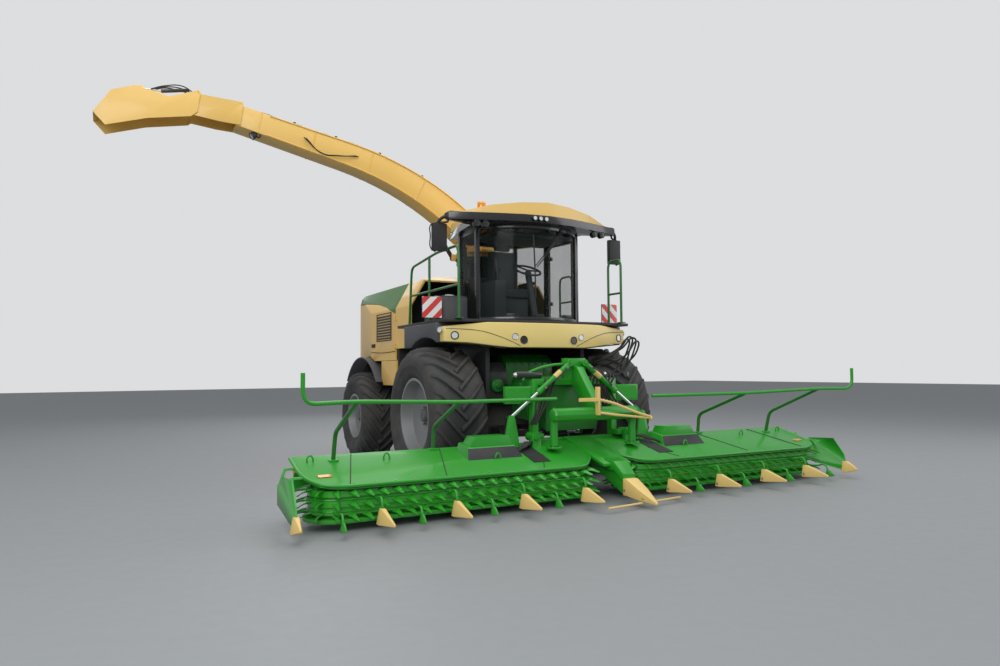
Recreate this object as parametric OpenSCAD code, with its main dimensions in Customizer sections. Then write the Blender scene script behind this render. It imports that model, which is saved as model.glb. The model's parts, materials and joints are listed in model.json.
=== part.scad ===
/* [Stance] */
// Distance between the front and rear axles
wheelbase = 3250; // [3150:10:3350]
// Middle of a front tyre, from the machine's middle
front_wheel_x = 1325; // [1300:5:1380]
// Middle of a rear tyre, from the machine's middle
rear_wheel_x = 1215; // [1190:5:1260]

/* [Wheels] */
// Front tyre radius out to its lugs
front_tyre_r = 925; // [890:5:940]
// Front tyre width
front_tyre_w = 780; // [720:10:800]
// Front rim flange radius
front_rim_r = 510; // [470:5:520]
// Rear tyre radius out to its lugs
rear_tyre_r = 755; // [720:5:770]
// Rear tyre width
rear_tyre_w = 600; // [540:10:620]
// Rear rim flange radius
rear_rim_r = 385; // [360:5:395]
// Wall of a rim's barrel
rim_wall = 14; // [10:1:18]
// Gap between pieces that seat on each other
seat_gap = 0.3; // [0.2:0.1:0.5]

/* [Chassis] */
// Outer face of a chassis rail, from the middle
rail_x = 460; // [440:5:480]
// Width of a chassis rail
rail_w = 80; // [60:5:100]
// Height of a chassis rail
rail_h = 205; // [180:5:240]
// Underside of the chassis rails above the ground
rail_z = 1085; // [1080:5:1120]
// Rear end of the chassis rails
rail_rear_y = 4350; // [4300:10:4450]
// Inner face of a front side tower
tower_x = 740; // [720:5:760]
// Thickness of a side tower
tower_t = 60; // [40:5:80]
// Front edge of the side towers
tower_front_y = -450; // [-500:10:-400]
// Rear edge of the side towers
tower_rear_y = 780; // [740:10:820]
// Front final drive radius
final_drive_r = 155; // [130:5:180]
// Kingpin's distance from the machine's middle
kingpin_x = 800; // [780:5:810]
// Kingpin radius
kingpin_r = 45; // [35:1:55]
// Radial clearance of a turning pin in its bore
pin_clear = 0.06; // [0.04:0.01:0.09]
// Half height of a steering knuckle between its ears
knuckle_h = 150; // [130:5:170]
// Thickness of a knuckle ear
ear_t = 40; // [30:2:50]

/* [Cab] */
// Top of the platform that the cab stands on
deck_z = 2200; // [2180:5:2240]
// Thickness of the platform
deck_t = 40; // [30:5:60]
// Outer edge of the platform
platform_x = 1460; // [1440:5:1500]
// Underside of the roof band
roof_z = 3520; // [3480:10:3560]
// Half width of the cab at its front pillars
pillar_a_x = 812; // [790:2:830]
// Front pillar's distance behind the front axle
pillar_a_y = -240; // [-270:5:-210]
// Half width of the cab at its door pillars
pillar_b_x = 735; // [715:5:755]
// Door pillar's distance behind the front axle
pillar_b_y = 450; // [420:5:480]
// Half width of the cab at its rear pillars
pillar_c_x = 460; // [440:5:480]
// Rear pillar's distance behind the front axle
pillar_c_y = 940; // [920:5:955]
// How far the windscreen bows out in front of its pillars
screen_bow = 460; // [420:5:480]
// Width of a cab pillar
pillar_w = 56; // [46:2:64]
// Thickness of a window
glass_t = 8; // [6:1:10]
// Thickness of the cab's floor
floor_t = 50; // [40:5:60]
// Outermost reach of the roof band's wings
roof_wing_x = 1353; // [1320:5:1380]
// Height of the black roof band
roof_band_h = 100; // [80:5:120]
// Height of the pale roof cap
roof_cap_h = 190; // [160:5:210]

/* [Bodywork] */
// Half width of the rear body
body_x = 1250; // [1230:5:1270]
// Half width of the rear body at its tail
tail_x = 1000; // [960:5:1040]
// Front edge of the rear body
body_front_y = 1150; // [1130:5:1180]
// Where the rear body starts to narrow
taper_y = 3000; // [2900:10:3100]
// Rear end of the rear body
tail_y = 4400; // [4370:5:4440]
// Crown of the rear body above the ground
hood_z = 3030; // [3000:5:3080]
// Where the body side turns in to the green shoulder
shoulder_z = 2520; // [2480:5:2560]
// Lower edge of the service doors
door_bottom_z = 1700; // [1680:5:1720]
// Wall of the body panels
panel_t = 25; // [20:1:30]
// Gap around a door
door_gap = 6; // [5:0.5:8]
// Front edge of a service door
door_front_y = 1790; // [1770:5:1820]
// Rear edge of a service door
door_rear_y = 4150; // [4100:5:4180]
// Lower edge of the yellow skirts
skirt_z = 1300; // [1280:5:1330]
// Clear radius of the rear wheel arch
arch_r = 1000; // [980:5:1020]

/* [Chute] */
// Distance of the chute's turntable behind the front axle
chute_y = 1400; // [1390:5:1420]
// Face of the chute's turntable above the ground
turret_z = 3290; // [3270:5:3310]
// Radius of the chute's turntable
turret_r = 320; // [300:5:330]
// Outer width of the chute
chute_w = 360; // [320:5:380]
// Wall of the chute
chute_t = 12; // [10:1:16]
// Radius that the chute's base is curved to
chute_bend_r = 4600; // [4400:50:4800]
// Depth of the chute at its base
chute_base_d = 440; // [420:5:460]
// Depth of the chute at its mouth
chute_mouth_d = 285; // [270:5:300]
// Reach of the chute's mouth from the turntable's axis
chute_reach = 3740; // [3600:10:3850]
// Length of the first flap
flap_a_l = 590; // [540:5:620]
// Length of the last flap to its bend
flap_b_l = 780; // [740:5:820]
// Length of the last flap's turned-down lip
flap_lip_l = 430; // [400:5:460]

/* [Header] */
// Working width of the header
header_w = 7500; // [7400:10:7600]
// Front edge of the header's decks
deck_front_y = -2240; // [-2260:5:-2220]
// Rear edge of the header's decks
deck_rear_y = -1430; // [-1450:5:-1410]
// Front edge of the decks above the ground
deck_front_z = 440; // [430:5:460]
// Rear edge of the decks above the ground
deck_rear_z = 650; // [640:5:670]
// Fore and aft middle of the collectors
belt_y = -1905; // [-1915:5:-1895]
// Radius of a collector's end turn
belt_r = 285; // [275:5:295]
// Radius out to the collector's tine tips
tine_r = 445; // [435:5:450]
// Middle of a collector's inner turn
belt_in_x = 560; // [555:5:575]
// Middle of a collector's outer turn
belt_out_x = 3230; // [3220:5:3245]
// Tines round each tier of a collector
tine_n = 48; // [36:1:60]
// Thickness of a tier of tines
tine_t = 14; // [10:1:18]
// Distance between neighbouring divider points
divider_pitch = 778; // [770:1:780]
// First divider point from the header's middle
divider_x = 611; // [600:1:620]
// Radius of the green guard bars
guard_r = 20; // [16:1:24]

/* [Hidden] */
$fn = 48;
front_axle_z = front_tyre_r;
rear_axle_z = rear_tyre_r;
rail_top_z = rail_z + rail_h;
axle_pad_w = 160;
front_axle_low = 160;
tower_out_x = tower_x + tower_t;
bead_drop = 24;
bead_share = 0.40;
disc_share = 0.14;
hub_depth = 60;
hub_r = 150;
front_hub_x = front_wheel_x + disc_share * front_tyre_w - hub_depth;
rear_hub_x = rear_wheel_x + disc_share * rear_tyre_w - hub_depth;
deck_low_z = deck_z - deck_t;
channel_x = 230;
drum_x = 380;
drum_front_y = -250;
drum_rear_y = 620;
drum_top_z = 1750;
intake_y = -300;
intake_z = 1250;
trunnion_r = 60;
intake_arm_t = 40;
intake_front_y = -1300;
fold_x = 700;
fold_z = 720;
fold_anchor = [108, 1616];
fold_eye = [995, 946];
fold_cyl_y = -1446;
lift_anchor = [-190, 640];
lift_eye = [-980, 720];
lift_x = 300;
boom_pivot = [50, 3620];
boom_cyl_anchor = [320, 3360];
boom_cyl_eye = [800, 4080];
engine = [430, 2250, 3750, 1010];

module both_sides() {
  children();
  mirror([1, 0, 0]) children();
}

// A box from its low to its high corner
module block(x, y, z) {
  translate([x[0], y[0], z[0]]) cube([x[1] - x[0], y[1] - y[0], z[1] - z[0]]);
}

// An outline in (y, z) carried across from x[0] to x[1]
module across(x) {
  translate([x[0], 0, 0]) rotate([90, 0, 90]) linear_extrude(x[1] - x[0]) children();
}

// An outline in (x, z) carried back from y[0] to y[1]
module along(y) {
  translate([0, y[1], 0]) rotate([90, 0, 0]) linear_extrude(y[1] - y[0]) children();
}

// An outline in (x, y) carried up from z[0] to z[1]
module up(z) {
  translate([0, 0, z[0]]) linear_extrude(z[1] - z[0]) children();
}

// A round bar between two points
module bar(p, q, r, sides = 24) {
  d = q - p;
  l = norm(d);
  translate(p) rotate([0, acos(d[2] / l), atan2(d[1], d[0])]) cylinder(h = l, r = r, $fn = sides);
}

// A bent tube through a list of points
module tube_run(points, r) {
  last = len(points) - 2;
  for (i = [0 : last]) let (
    p = points[i],
    q = points[i + 1],
    along = (q - p) / norm(q - p),
    back = i > 0 ? 0.4 * r : 0,
    on = i < last ? 0.4 * r : 0
  ) bar(p - back * along, q + on * along, r, 12);
}

// A round bar along X at height z
module x_bar(x, y, z, r) {
  translate([x[0], y, z]) rotate([0, 90, 0]) cylinder(h = x[1] - x[0], r = r);
}

// A round bar along Y
module y_bar(x, y, z, r) {
  translate([x, y[0], z]) rotate([-90, 0, 0]) cylinder(h = y[1] - y[0], r = r);
}

// A tyre's half section as (radius, offset along the axle), out to the lugs
function tyre_side(r, rim, w) = [
  [rim - bead_drop, bead_share * w],
  [rim + 2, bead_share * w],
  [rim + 30, 0.45 * w],
  [0.5 * (r + rim), 0.5 * w],
  [r - 0.26 * (r - rim), 0.49 * w],
  [r - 0.09 * (r - rim), 0.45 * w],
  [r, 0.38 * w]
];

function reversed(list) = [for (i = [len(list) - 1 : -1 : 0]) list[i]];

module on_axle(x, y, z) {
  translate([x, y, z]) rotate([0, 90, 0]) children();
}

module tyre(x, y, r, rim, w) {
  side = tyre_side(r, rim, w);
  inner = [for (p = side) [p[0], -p[1]]];
  on_axle(x, y, r) rotate_extrude($fn = 96) polygon(concat(inner, reversed(side)));
}

module rim(x, y, tyre_r, rim_r, w) {
  barrel_r = rim_r - bead_drop - seat_gap;
  bore_r = barrel_r - rim_wall;
  half = bead_share * w + seat_gap;
  disc = disc_share * w;
  dish = 30;
  disc_t = 16;
  on_axle(x, y, tyre_r) rotate_extrude($fn = 96) {
    translate([bore_r, -half]) square([rim_wall, 2 * half]);
    for (side = [-half - rim_wall, half]) translate([bore_r, side]) square([rim_r - bore_r, rim_wall]);
    polygon([[hub_r - 5, disc], [bore_r + 2, disc + dish], [bore_r + 2, disc + dish + disc_t],
      [hub_r - 5, disc + disc_t]]);
    translate([0, disc - hub_depth]) square([hub_r, hub_depth + 2 * disc_t]);
  }
}

module placed(left) {
  if (left) children();
  else mirror([1, 0, 0]) children();
}

module front_tyre(left) {
  color("#26272a") placed(left)
    tyre(front_wheel_x, 0, front_tyre_r, front_rim_r, front_tyre_w);
}

module front_rim(left) {
  color("silver") placed(left)
    rim(front_wheel_x, 0, front_tyre_r, front_rim_r, front_tyre_w);
}

module rear_tyre(left) {
  color("#26272a") placed(left)
    tyre(rear_wheel_x, wheelbase, rear_tyre_r, rear_rim_r, rear_tyre_w);
}

module rear_rim(left) {
  color("silver") placed(left)
    rim(rear_wheel_x, wheelbase, rear_tyre_r, rear_rim_r, rear_tyre_w);
}

module chassis_frame() {
  gusset_y = [640, 760];
  color("#2f3133") union() {
    both_sides() {
      block([rail_x - rail_w, rail_x], [600, rail_rear_y], [rail_z, rail_top_z]);
      block([tower_x, tower_out_x], [tower_front_y, tower_rear_y], [rail_z, deck_low_z]);
      block([rail_x - 1, tower_x + 1], gusset_y, [rail_z, rail_top_z]);
    }
    for (y = [2050, 3960, rail_rear_y - 60]) {
      block([-rail_x + rail_w - 1, rail_x - rail_w + 1], [y, y + 60], [rail_z, rail_top_z]);
    }
  }
}

module front_axle() {
  lug_y = [-222, -130];
  lug_z = [580, front_axle_z - 100];
  color("#3a3c3f") union() {
    block([-tower_out_x - 10, tower_out_x + 10], [-axle_pad_w, axle_pad_w],
      [front_axle_z - front_axle_low, rail_z]);
    both_sides() {
      x_bar([tower_out_x, front_hub_x - seat_gap], 0, front_axle_z, final_drive_r);
      for (x = [lift_x - 60, lift_x + 30]) block([x, x + 30], lug_y, lug_z);
      x_bar([lift_x - 60, lift_x + 60], lift_anchor[0], lift_anchor[1], 25);
    }
  }
}

module rear_axle() {
  beam = 110;
  ear_r = 90;
  ear_low = knuckle_h + seat_gap;
  color("#3a3c3f") difference() {
    union() {
      block([-kingpin_x + 160, kingpin_x - 160], [wheelbase - beam, wheelbase + beam],
        [rear_axle_z - beam, rear_axle_z + beam]);
      block([-rail_x, rail_x], [wheelbase - beam, wheelbase + beam], [rail_z - 90, rail_z]);
      block([-150, 150], [wheelbase - beam, wheelbase + beam], [rear_axle_z, rail_z - 80]);
      both_sides() for (z = [rear_axle_z + ear_low, rear_axle_z - ear_low - ear_t]) {
        block([kingpin_x - 240, kingpin_x], [wheelbase - ear_r, wheelbase + ear_r], [z, z + ear_t]);
        translate([kingpin_x, wheelbase, z]) cylinder(h = ear_t, r = ear_r);
      }
      both_sides() block([kingpin_x - 240, kingpin_x - 160], [wheelbase - ear_r, wheelbase + ear_r],
        [rear_axle_z - ear_low - ear_t, rear_axle_z + ear_low + ear_t]);
    }
    both_sides() translate([kingpin_x, wheelbase, rear_axle_z - 300])
      cylinder(h = 600, r = kingpin_r + pin_clear);
  }
}

module knuckle(left) {
  color("#4a4d50") placed(left) union() {
    translate([kingpin_x, wheelbase, rear_axle_z - knuckle_h]) cylinder(h = 2 * knuckle_h, r = 100);
    translate([kingpin_x, wheelbase, rear_axle_z - knuckle_h - ear_t])
      cylinder(h = 2 * (knuckle_h + ear_t), r = kingpin_r);
    x_bar([kingpin_x, rear_hub_x - seat_gap], wheelbase, rear_axle_z, 85);
    block([kingpin_x - 40, kingpin_x + 40], [wheelbase + 60, wheelbase + 280],
      [rear_axle_z - 25, rear_axle_z + 25]);
  }
}

module engine_block() {
  color("#55585c") block([-engine[0], engine[0]], [engine[1], engine[2]],
    [rail_top_z, rail_top_z + engine[3]]);
}

module drum_case() {
  color("#1f5f2c") union() {
    across([-drum_x, drum_x]) polygon([[drum_front_y, rail_z], [drum_rear_y, rail_z],
      [drum_rear_y, drum_top_z - 60], [drum_rear_y - 70, drum_top_z], [drum_front_y + 140, drum_top_z],
      [drum_front_y, drum_top_z - 120]]);
    both_sides() x_bar([drum_x - 1, drum_x + intake_arm_t + 21], intake_y, intake_z, trunnion_r);
  }
}

module crop_channel() {
  ring_t = 60;
  low_z = turret_z - ring_t;
  color("#2f3133") union() {
    across([-channel_x, channel_x]) polygon([[drum_rear_y, 1150], [1000, 1150],
      [chute_y + 225, 2000], [chute_y + 225, low_z + 1], [chute_y - 225, low_z + 1],
      [chute_y - 225, 2150], [1020, 1900], [drum_rear_y, 1680]]);
    translate([0, chute_y, low_z]) cylinder(h = ring_t, r = turret_r + 10);
  }
}

module side_gearboxes() {
  color("#33363a") both_sides() across([drum_x + intake_arm_t + 20, tower_x - seat_gap])
    polygon([[-375, 1120], [-340, rail_z], [560, rail_z], [560, 1500], [420, 1640], [-240, 1640],
      [-375, 1500]]);
}

module front_fenders() {
  low_z = 1850;
  front_y = -400 + seat_gap;
  rear_y = 760;
  color("#43464a") both_sides() across([tower_out_x + 60, 1500]) difference() {
    polygon([[front_y, low_z], [rear_y, low_z], [rear_y, deck_low_z], [front_y, deck_low_z]]);
    translate([0, front_axle_z]) circle(r = front_tyre_r + 125, $fn = 96);
  }
}

module platform_deck() {
  rear_y = 1140;
  landing_y = 1600;
  color("#3b3e42") up([deck_low_z, deck_z]) polygon([
    [-platform_x, -640], [-900, -700], [900, -700], [platform_x, -640], [platform_x, landing_y],
    [body_x + 15, landing_y], [body_x + 15, rear_y], [-platform_x, rear_y]]);
}

module handrails() {
  r = 17;
  x = 1300;
  color("#1d7a33") {
    union() {
      tube_run([[-x, -680, deck_z], [-x, -680, 3060], [-x, -620, 3150], [-x, 40, 3150],
        [-x, 960, 3060], [-x, 1060, deck_z + 2.3]], r);
      tube_run([[-x, 290, deck_z + 340], [-x, 290, 3130]], r);
      tube_run([[-x, -680, 2640], [-x, 1010, 2640]], r);
    }
    union() {
      tube_run([[x, -690, deck_z], [x, -690, 3060], [x, -650, 3130], [x, -430, 3130],
        [x, -390, 3060], [x, -390, deck_z]], r);
      tube_run([[x, -690, 2640], [x, -390, 2640]], r);
    }
    union() {
      tube_run([[platform_x - 60, 720, deck_z], [platform_x - 60, 720, 3060],
        [platform_x - 60, 1080, 3060], [platform_x - 60, 1080, deck_z]], r);
      tube_run([[platform_x - 60, 720, 2640], [platform_x - 60, 1080, 2640]], r);
    }
  }
}

module ladder() {
  x = [1300, 1440];
  y = [1180, 1560];
  t = 22;
  foot_z = 640;
  steps = 5;
  rise = (deck_low_z - foot_z) / steps;
  color("#1d7a33") union() {
    for (side = [y[0], y[1] - t]) block(x, [side, side + t], [foot_z, deck_low_z]);
    for (i = [0 : steps - 1]) block(x, [y[0] + 1, y[1] - 1], [foot_z + i * rise, foot_z + i * rise + 30]);
  }
}

module side_locker() {
  color("#3d4147") union() {
    block([-1285, -905], [-130, 520], [deck_z, 2530]);
    translate([-1100, 60, 2529]) cylinder(h = 50, r = 70);
    block([-1230, -980], [250, 470], [2529, 2580]);
  }
}

module warning_boards() {
  size = 283;
  low_z = 2235;
  inner_x = 1322;
  color("#c8202a") both_sides() {
    block([inner_x, inner_x + size], [-190, -170], [low_z, low_z + size]);
    block([inner_x + 20, inner_x + 70], [-170, -150], [deck_z, low_z + size - 20]);
  }
}

module front_light_beam() {
  color("#e7c873") intersection() {
    up([1700, deck_low_z - seat_gap]) polygon([[-1450, -400], [-1450, -545], [-1000, -690],
      [-560, -775], [0, -800], [560, -775], [1000, -690], [1450, -545], [1450, -400],
      [900, -tower_x + 260], [-900, -tower_x + 260]]);
    along([-900, -300]) polygon([[-1450, 1905], [-1150, 1890], [-820, 1850], [-600, 1828],
      [600, 1828], [820, 1850], [1150, 1890], [1450, 1905], [1450, 2105], [900, deck_low_z],
      [-900, deck_low_z], [-1450, 2105]]);
  }
}

// The cab's plan, drawn in by an inset
module cab_plan(inset) {
  a = [pillar_a_x - inset, pillar_a_y];
  b = [pillar_b_x - inset, pillar_b_y];
  c = [pillar_c_x - inset, pillar_c_y - inset];
  bow_r = (pow(pillar_a_x, 2) + pow(screen_bow, 2)) / (2 * screen_bow);
  bow_y = pillar_a_y - screen_bow + bow_r;
  union() {
    polygon([a, b, c, [-c[0], c[1]], [-b[0], b[1]], [-a[0], a[1]]]);
    intersection() {
      translate([0, bow_y]) circle(r = bow_r - inset, $fn = 96);
      translate([-a[0], pillar_a_y - 2 * screen_bow]) square([2 * a[0], 2 * screen_bow + 1]);
    }
  }
}

cab_top_z = roof_z - 60;
cab_floor_z = deck_z + floor_t;

module cab_frame() {
  color("#2b2e31") union() {
    up([deck_z, cab_floor_z]) cab_plan(0);
    up([cab_top_z, roof_z]) difference() {
      cab_plan(0);
      cab_plan(60);
    }
    both_sides() for (p = [[pillar_a_x, pillar_a_y], [pillar_b_x, pillar_b_y], [pillar_c_x, pillar_c_y]]) {
      translate([p[0] - pillar_w / 2, p[1] - pillar_w / 2, deck_z])
        cube([pillar_w, pillar_w, roof_z - deck_z]);
    }
    cab_hinge_lugs();
  }
}

// Places children on the wall from p to q: x runs along it, y points to its left
module on_wall(p, q) {
  translate([p[0], p[1], 0]) rotate([0, 0, atan2(q[1] - p[1], q[0] - p[0])]) children();
}

module wall_pane(p, q, edge) {
  on_wall(p, q) translate([edge, -glass_t / 2, cab_floor_z])
    cube([norm(q - p) - 2 * edge, glass_t, cab_top_z - cab_floor_z]);
}

module cab_windows() {
  a = [-pillar_a_x, pillar_a_y];
  b = [-pillar_b_x, pillar_b_y];
  c = [-pillar_c_x, pillar_c_y];
  edge = pillar_w / 2 + 11;
  color("#9fc7b4", 0.4) {
    up([cab_floor_z, cab_top_z]) intersection() {
      difference() {
        cab_plan(24);
        cab_plan(24 + glass_t);
      }
      translate([-pillar_a_x + edge, -2000]) square([2 * (pillar_a_x - edge), 2000 + pillar_a_y - edge]);
    }
    wall_pane(a, b, edge);
    wall_pane(b, c, edge);
    wall_pane([pillar_b_x, pillar_b_y], [pillar_c_x, pillar_c_y], edge);
    wall_pane(c, [pillar_c_x, pillar_c_y], edge);
  }
}

module roof_plan() {
  polygon([[-roof_wing_x, -400], [-roof_wing_x, -490], [-1050, -600], [-750, -690], [-380, -790],
    [0, -825], [380, -790], [750, -690], [1050, -600], [roof_wing_x, -490], [roof_wing_x, -400],
    [920, -260], [840, 300], [700, 900], [-700, 900], [-840, 300], [-920, -260]]);
}

module roof_shell() {
  cap_z = roof_z + roof_band_h;
  color("#ead9a0") union() {
    up([roof_z, cap_z]) roof_plan();
    intersection() {
      up([cap_z - 1, cap_z + roof_cap_h]) polygon([[-1180, -500], [-720, -670], [-360, -760], [0, -795],
        [360, -760], [720, -670], [1180, -500], [900, -240], [820, 300], [690, 885], [-690, 885],
        [-820, 300], [-900, -240]]);
      along([-900, 1000]) polygon([[-1190, cap_z - 1], [1190, cap_z - 1], [1150, cap_z + 20],
        [820, cap_z + 110], [400, cap_z + 165], [0, cap_z + roof_cap_h], [-400, cap_z + 165],
        [-820, cap_z + 110], [-1150, cap_z + 20]]);
    }
  }
}

module roof_lamps() {
  color("#e8ecef") {
    for (x = [-240, -150, -60]) y_bar(x, [-850, -780], roof_z + 48, 38);
    both_sides() for (x = [880, 1010]) {
      y_bar(x, [-650, -580], roof_z - 48, 46);
      block([x - 12, x + 12], [-625, -605], [roof_z - 20, roof_z - seat_gap]);
    }
    for (p = [[-560, 120], [560, 120]]) translate([p[0], p[1], roof_z + roof_band_h + 140])
      cylinder(h = 190, r = 60);
  }
}

module cab_seat() {
  color("#2c2f33") {
    translate([-240, 60, cab_floor_z + 330]) cube([480, 470, 130]);
    translate([-230, 480, cab_floor_z + 460 + seat_gap]) cube([460, 120, 620]);
  }
}

module console_block() {
  color("#33373b") union() {
    block([-200, 200], [120, 480], [cab_floor_z, cab_floor_z + 330 - seat_gap]);
    block([-440, -270], [-60, 560], [cab_floor_z, cab_floor_z + 560]);
  }
}

module steering_column() {
  color("#222427") union() {
    bar([0, -420, cab_floor_z + 12.5], [0, -230, cab_floor_z + 680], 45);
    translate([0, -222, cab_floor_z + 700]) rotate([28, 0, 0]) {
      rotate_extrude($fn = 48) translate([190, 0]) circle(r = 15, $fn = 16);
      for (a = [0, 120, 240]) rotate([0, 90, a]) cylinder(h = 190, r = 12, $fn = 16);
    }
  }
}

module mirrors() {
  color("#2b2d30") both_sides() {
    bar([1338, -432, 3490], [1338, -432, roof_z - seat_gap], 14);
    bar([1338, -432, 3492], [1435, -360, 3478], 14);
    block([1335, 1530], [-395, -325], [3110, 3470]);
    block([1420, 1450], [-375, -345], [3460, 3490]);
  }
}

cab_hinge = [2, 54];
cab_hinge_z = [2480, 3180];
cab_hinge_r = 10;

module cab_hinge_lugs() {
  on_wall([pillar_b_x, pillar_b_y], [pillar_a_x, pillar_a_y]) for (z = cab_hinge_z) {
    block([cab_hinge[0] - 16, cab_hinge[0] + 16], [20, cab_hinge[1]], [z, z + 36]);
    translate([cab_hinge[0], cab_hinge[1], z]) cylinder(h = 36, r = 16);
    translate([cab_hinge[0], cab_hinge[1], z]) cylinder(h = 100, r = cab_hinge_r);
  }
}

module cab_hinge_eyes() {
  for (z = cab_hinge_z) difference() {
    union() {
      block([cab_hinge[0], 90], [19, cab_hinge[1] + 8], [z + 41, z + 96]);
      translate([cab_hinge[0], cab_hinge[1], z + 41]) cylinder(h = 55, r = 16);
    }
    block([-40, 35], [-40, 37], [z, z + 110]);
    translate([cab_hinge[0], cab_hinge[1], z]) cylinder(h = 120, r = cab_hinge_r + pin_clear);
  }
}

module cab_door() {
  a = [pillar_a_x, pillar_a_y];
  b = [pillar_b_x, pillar_b_y];
  edge = pillar_w / 2 + 8;
  far = norm(a - b) - edge;
  low_z = cab_floor_z + 6;
  top_z = cab_top_z - 6;
  stile = 45;
  color("#2b2e31") on_wall(b, a) union() {
    difference() {
      translate([edge, -20, low_z]) cube([far - edge, 40, top_z - low_z]);
      translate([edge + stile, -30, low_z + stile])
        cube([far - edge - 2 * stile, 60, top_z - low_z - 2 * stile]);
    }
    cab_hinge_eyes();
  }
}

module cab_door_glass() {
  a = [pillar_a_x, pillar_a_y];
  b = [pillar_b_x, pillar_b_y];
  edge = pillar_w / 2 + 8;
  far = norm(a - b) - edge;
  low_z = cab_floor_z + 6;
  top_z = cab_top_z - 6;
  stile = 45 + seat_gap;
  color("#9fc7b4", 0.4) on_wall(b, a) translate([edge + stile, -glass_t / 2, low_z + stile])
    cube([far - edge - 2 * stile, glass_t, top_z - low_z - 2 * stile]);
}

// The whole rear body as a block, drawn in by the panels' thickness where asked
module body_form(inset) {
  wide = body_x - inset;
  thin = tail_x - inset;
  top = hood_z - inset;
  open_y = inset > 0 ? body_front_y - 1 : body_front_y;
  low_z = inset > 0 ? skirt_z - 1 : skirt_z;
  intersection() {
    along([0, tail_y]) polygon([[-wide, low_z], [wide, low_z], [wide, shoulder_z],
      [1020 - inset, top - 95], [700, top - 20], [0, top], [-700, top - 20], [-1020 + inset, top - 95],
      [-wide, shoulder_z]]);
    up([0, 4000]) polygon([[-wide, open_y], [wide, open_y], [wide, taper_y], [thin, tail_y - inset],
      [-thin, tail_y - inset], [-wide, taper_y]]);
    across([-2000, 2000]) polygon([[open_y, low_z], [tail_y, low_z], [tail_y, top - 230],
      [3750, top], [1450, top], [open_y, top - 110]]);
  }
}

module body_shell() {
  difference() {
    body_form(0);
    body_form(panel_t);
  }
}

// The line between the green hood and the yellow side, as (y, z)
function side_line(shift) = [
  [door_front_y - 10, 2440 + shift], [2300, 2580 + shift], [2900, 2680 + shift],
  [3600, 2745 + shift], [tail_y + 10, 2790 + shift]
];

module hood_top() {
  color("#3f8f4a") intersection() {
    body_shell();
    across([-2000, 2000]) polygon(concat(side_line(0), [[tail_y + 10, 3300], [door_front_y - 10, 3300]]));
    across([-2000, 2000]) polygon([[door_front_y - door_gap, 1000], [5000, 1000], [5000, 3300],
      [door_front_y - door_gap, 3300]]);
  }
}

module front_cheeks() {
  cut = channel_x + 15;
  color("#ecc65f") both_sides() side_hinge_lugs();
  color("#ecc65f") difference() {
    intersection() {
      body_shell();
      block([-2000, 2000], [body_front_y, door_front_y - door_gap], [1880, 3300]);
    }
    block([-cut, cut], [0, chute_y + 240], [2600, 3400]);
  }
}

side_hinge = [body_x + 16, door_front_y - 3];
side_hinge_z = [1900, 2340];
hinge_r = 7;

// Straps and pins of the side doors' hinges, on the fixed panel ahead of them
module side_hinge_lugs() {
  for (z = side_hinge_z) {
    block([body_x - 3, side_hinge[0]], [side_hinge[1] - 40, side_hinge[1] - 5], [z, z + 22]);
    translate([side_hinge[0], side_hinge[1], z]) cylinder(h = 22, r = 10);
    translate([side_hinge[0], side_hinge[1], z]) cylinder(h = 66, r = hinge_r);
  }
}

module side_hinge_eyes() {
  for (z = side_hinge_z) difference() {
    union() {
      block([body_x - 3, side_hinge[0]], [side_hinge[1] + 5, side_hinge[1] + 50], [z + 27, z + 62]);
      translate([side_hinge[0], side_hinge[1], z + 27]) cylinder(h = 35, r = 10);
    }
    translate([side_hinge[0], side_hinge[1], z]) cylinder(h = 80, r = hinge_r + pin_clear);
  }
}

module side_door(left) {
  color("#ecc65f") placed(left) {
    side_door_panel();
    side_hinge_eyes();
  }
}

module side_door_panel() {
  difference() {
    intersection() {
      body_shell();
      across([0, 2000]) polygon(concat([[door_front_y, door_bottom_z]],
        [[door_front_y, side_line(-door_gap)[0][1]]],
        [for (i = [1 : 3]) side_line(-door_gap)[i]],
        [[door_rear_y, 2770 - door_gap], [door_rear_y, door_bottom_z]]));
    }
    on_axle(0, wheelbase, rear_axle_z) cylinder(h = 2000, r = arch_r + 35, $fn = 96);
  }
}

module rear_shell() {
  grille = 640 + door_gap;
  color("#ecc65f") difference() {
    intersection() {
      body_shell();
      across([-2000, 2000]) polygon([[door_rear_y + door_gap, skirt_z],
        [tail_y + 10, skirt_z], [tail_y + 10, 2790 - 0.5], [door_rear_y + door_gap, 2764]]);
    }
    block([-grille, grille], [tail_y - 200, tail_y + 200], [1750 - door_gap, 2640 + door_gap]);
  }
  color("#ecc65f") grille_hinge_lugs();
}

grille_hinge = [-643, tail_y + 16];
grille_hinge_z = [1840, 2480];

module grille_hinge_lugs() {
  for (z = grille_hinge_z) {
    block([-700, -650], [tail_y - 1, tail_y + 24], [z, z + 22]);
    translate([grille_hinge[0], grille_hinge[1], z]) cylinder(h = 22, r = 10);
    translate([grille_hinge[0], grille_hinge[1], z]) cylinder(h = 62, r = hinge_r - 1);
  }
}

module grille_hinge_eyes() {
  for (z = grille_hinge_z) difference() {
    union() {
      block([-640, -600], [tail_y - 1, tail_y + 24], [z + 27, z + 58]);
      translate([grille_hinge[0], grille_hinge[1], z + 27]) cylinder(h = 31, r = 10);
    }
    translate([grille_hinge[0], grille_hinge[1], z]) cylinder(h = 80, r = hinge_r - 1 + pin_clear);
  }
}

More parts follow.
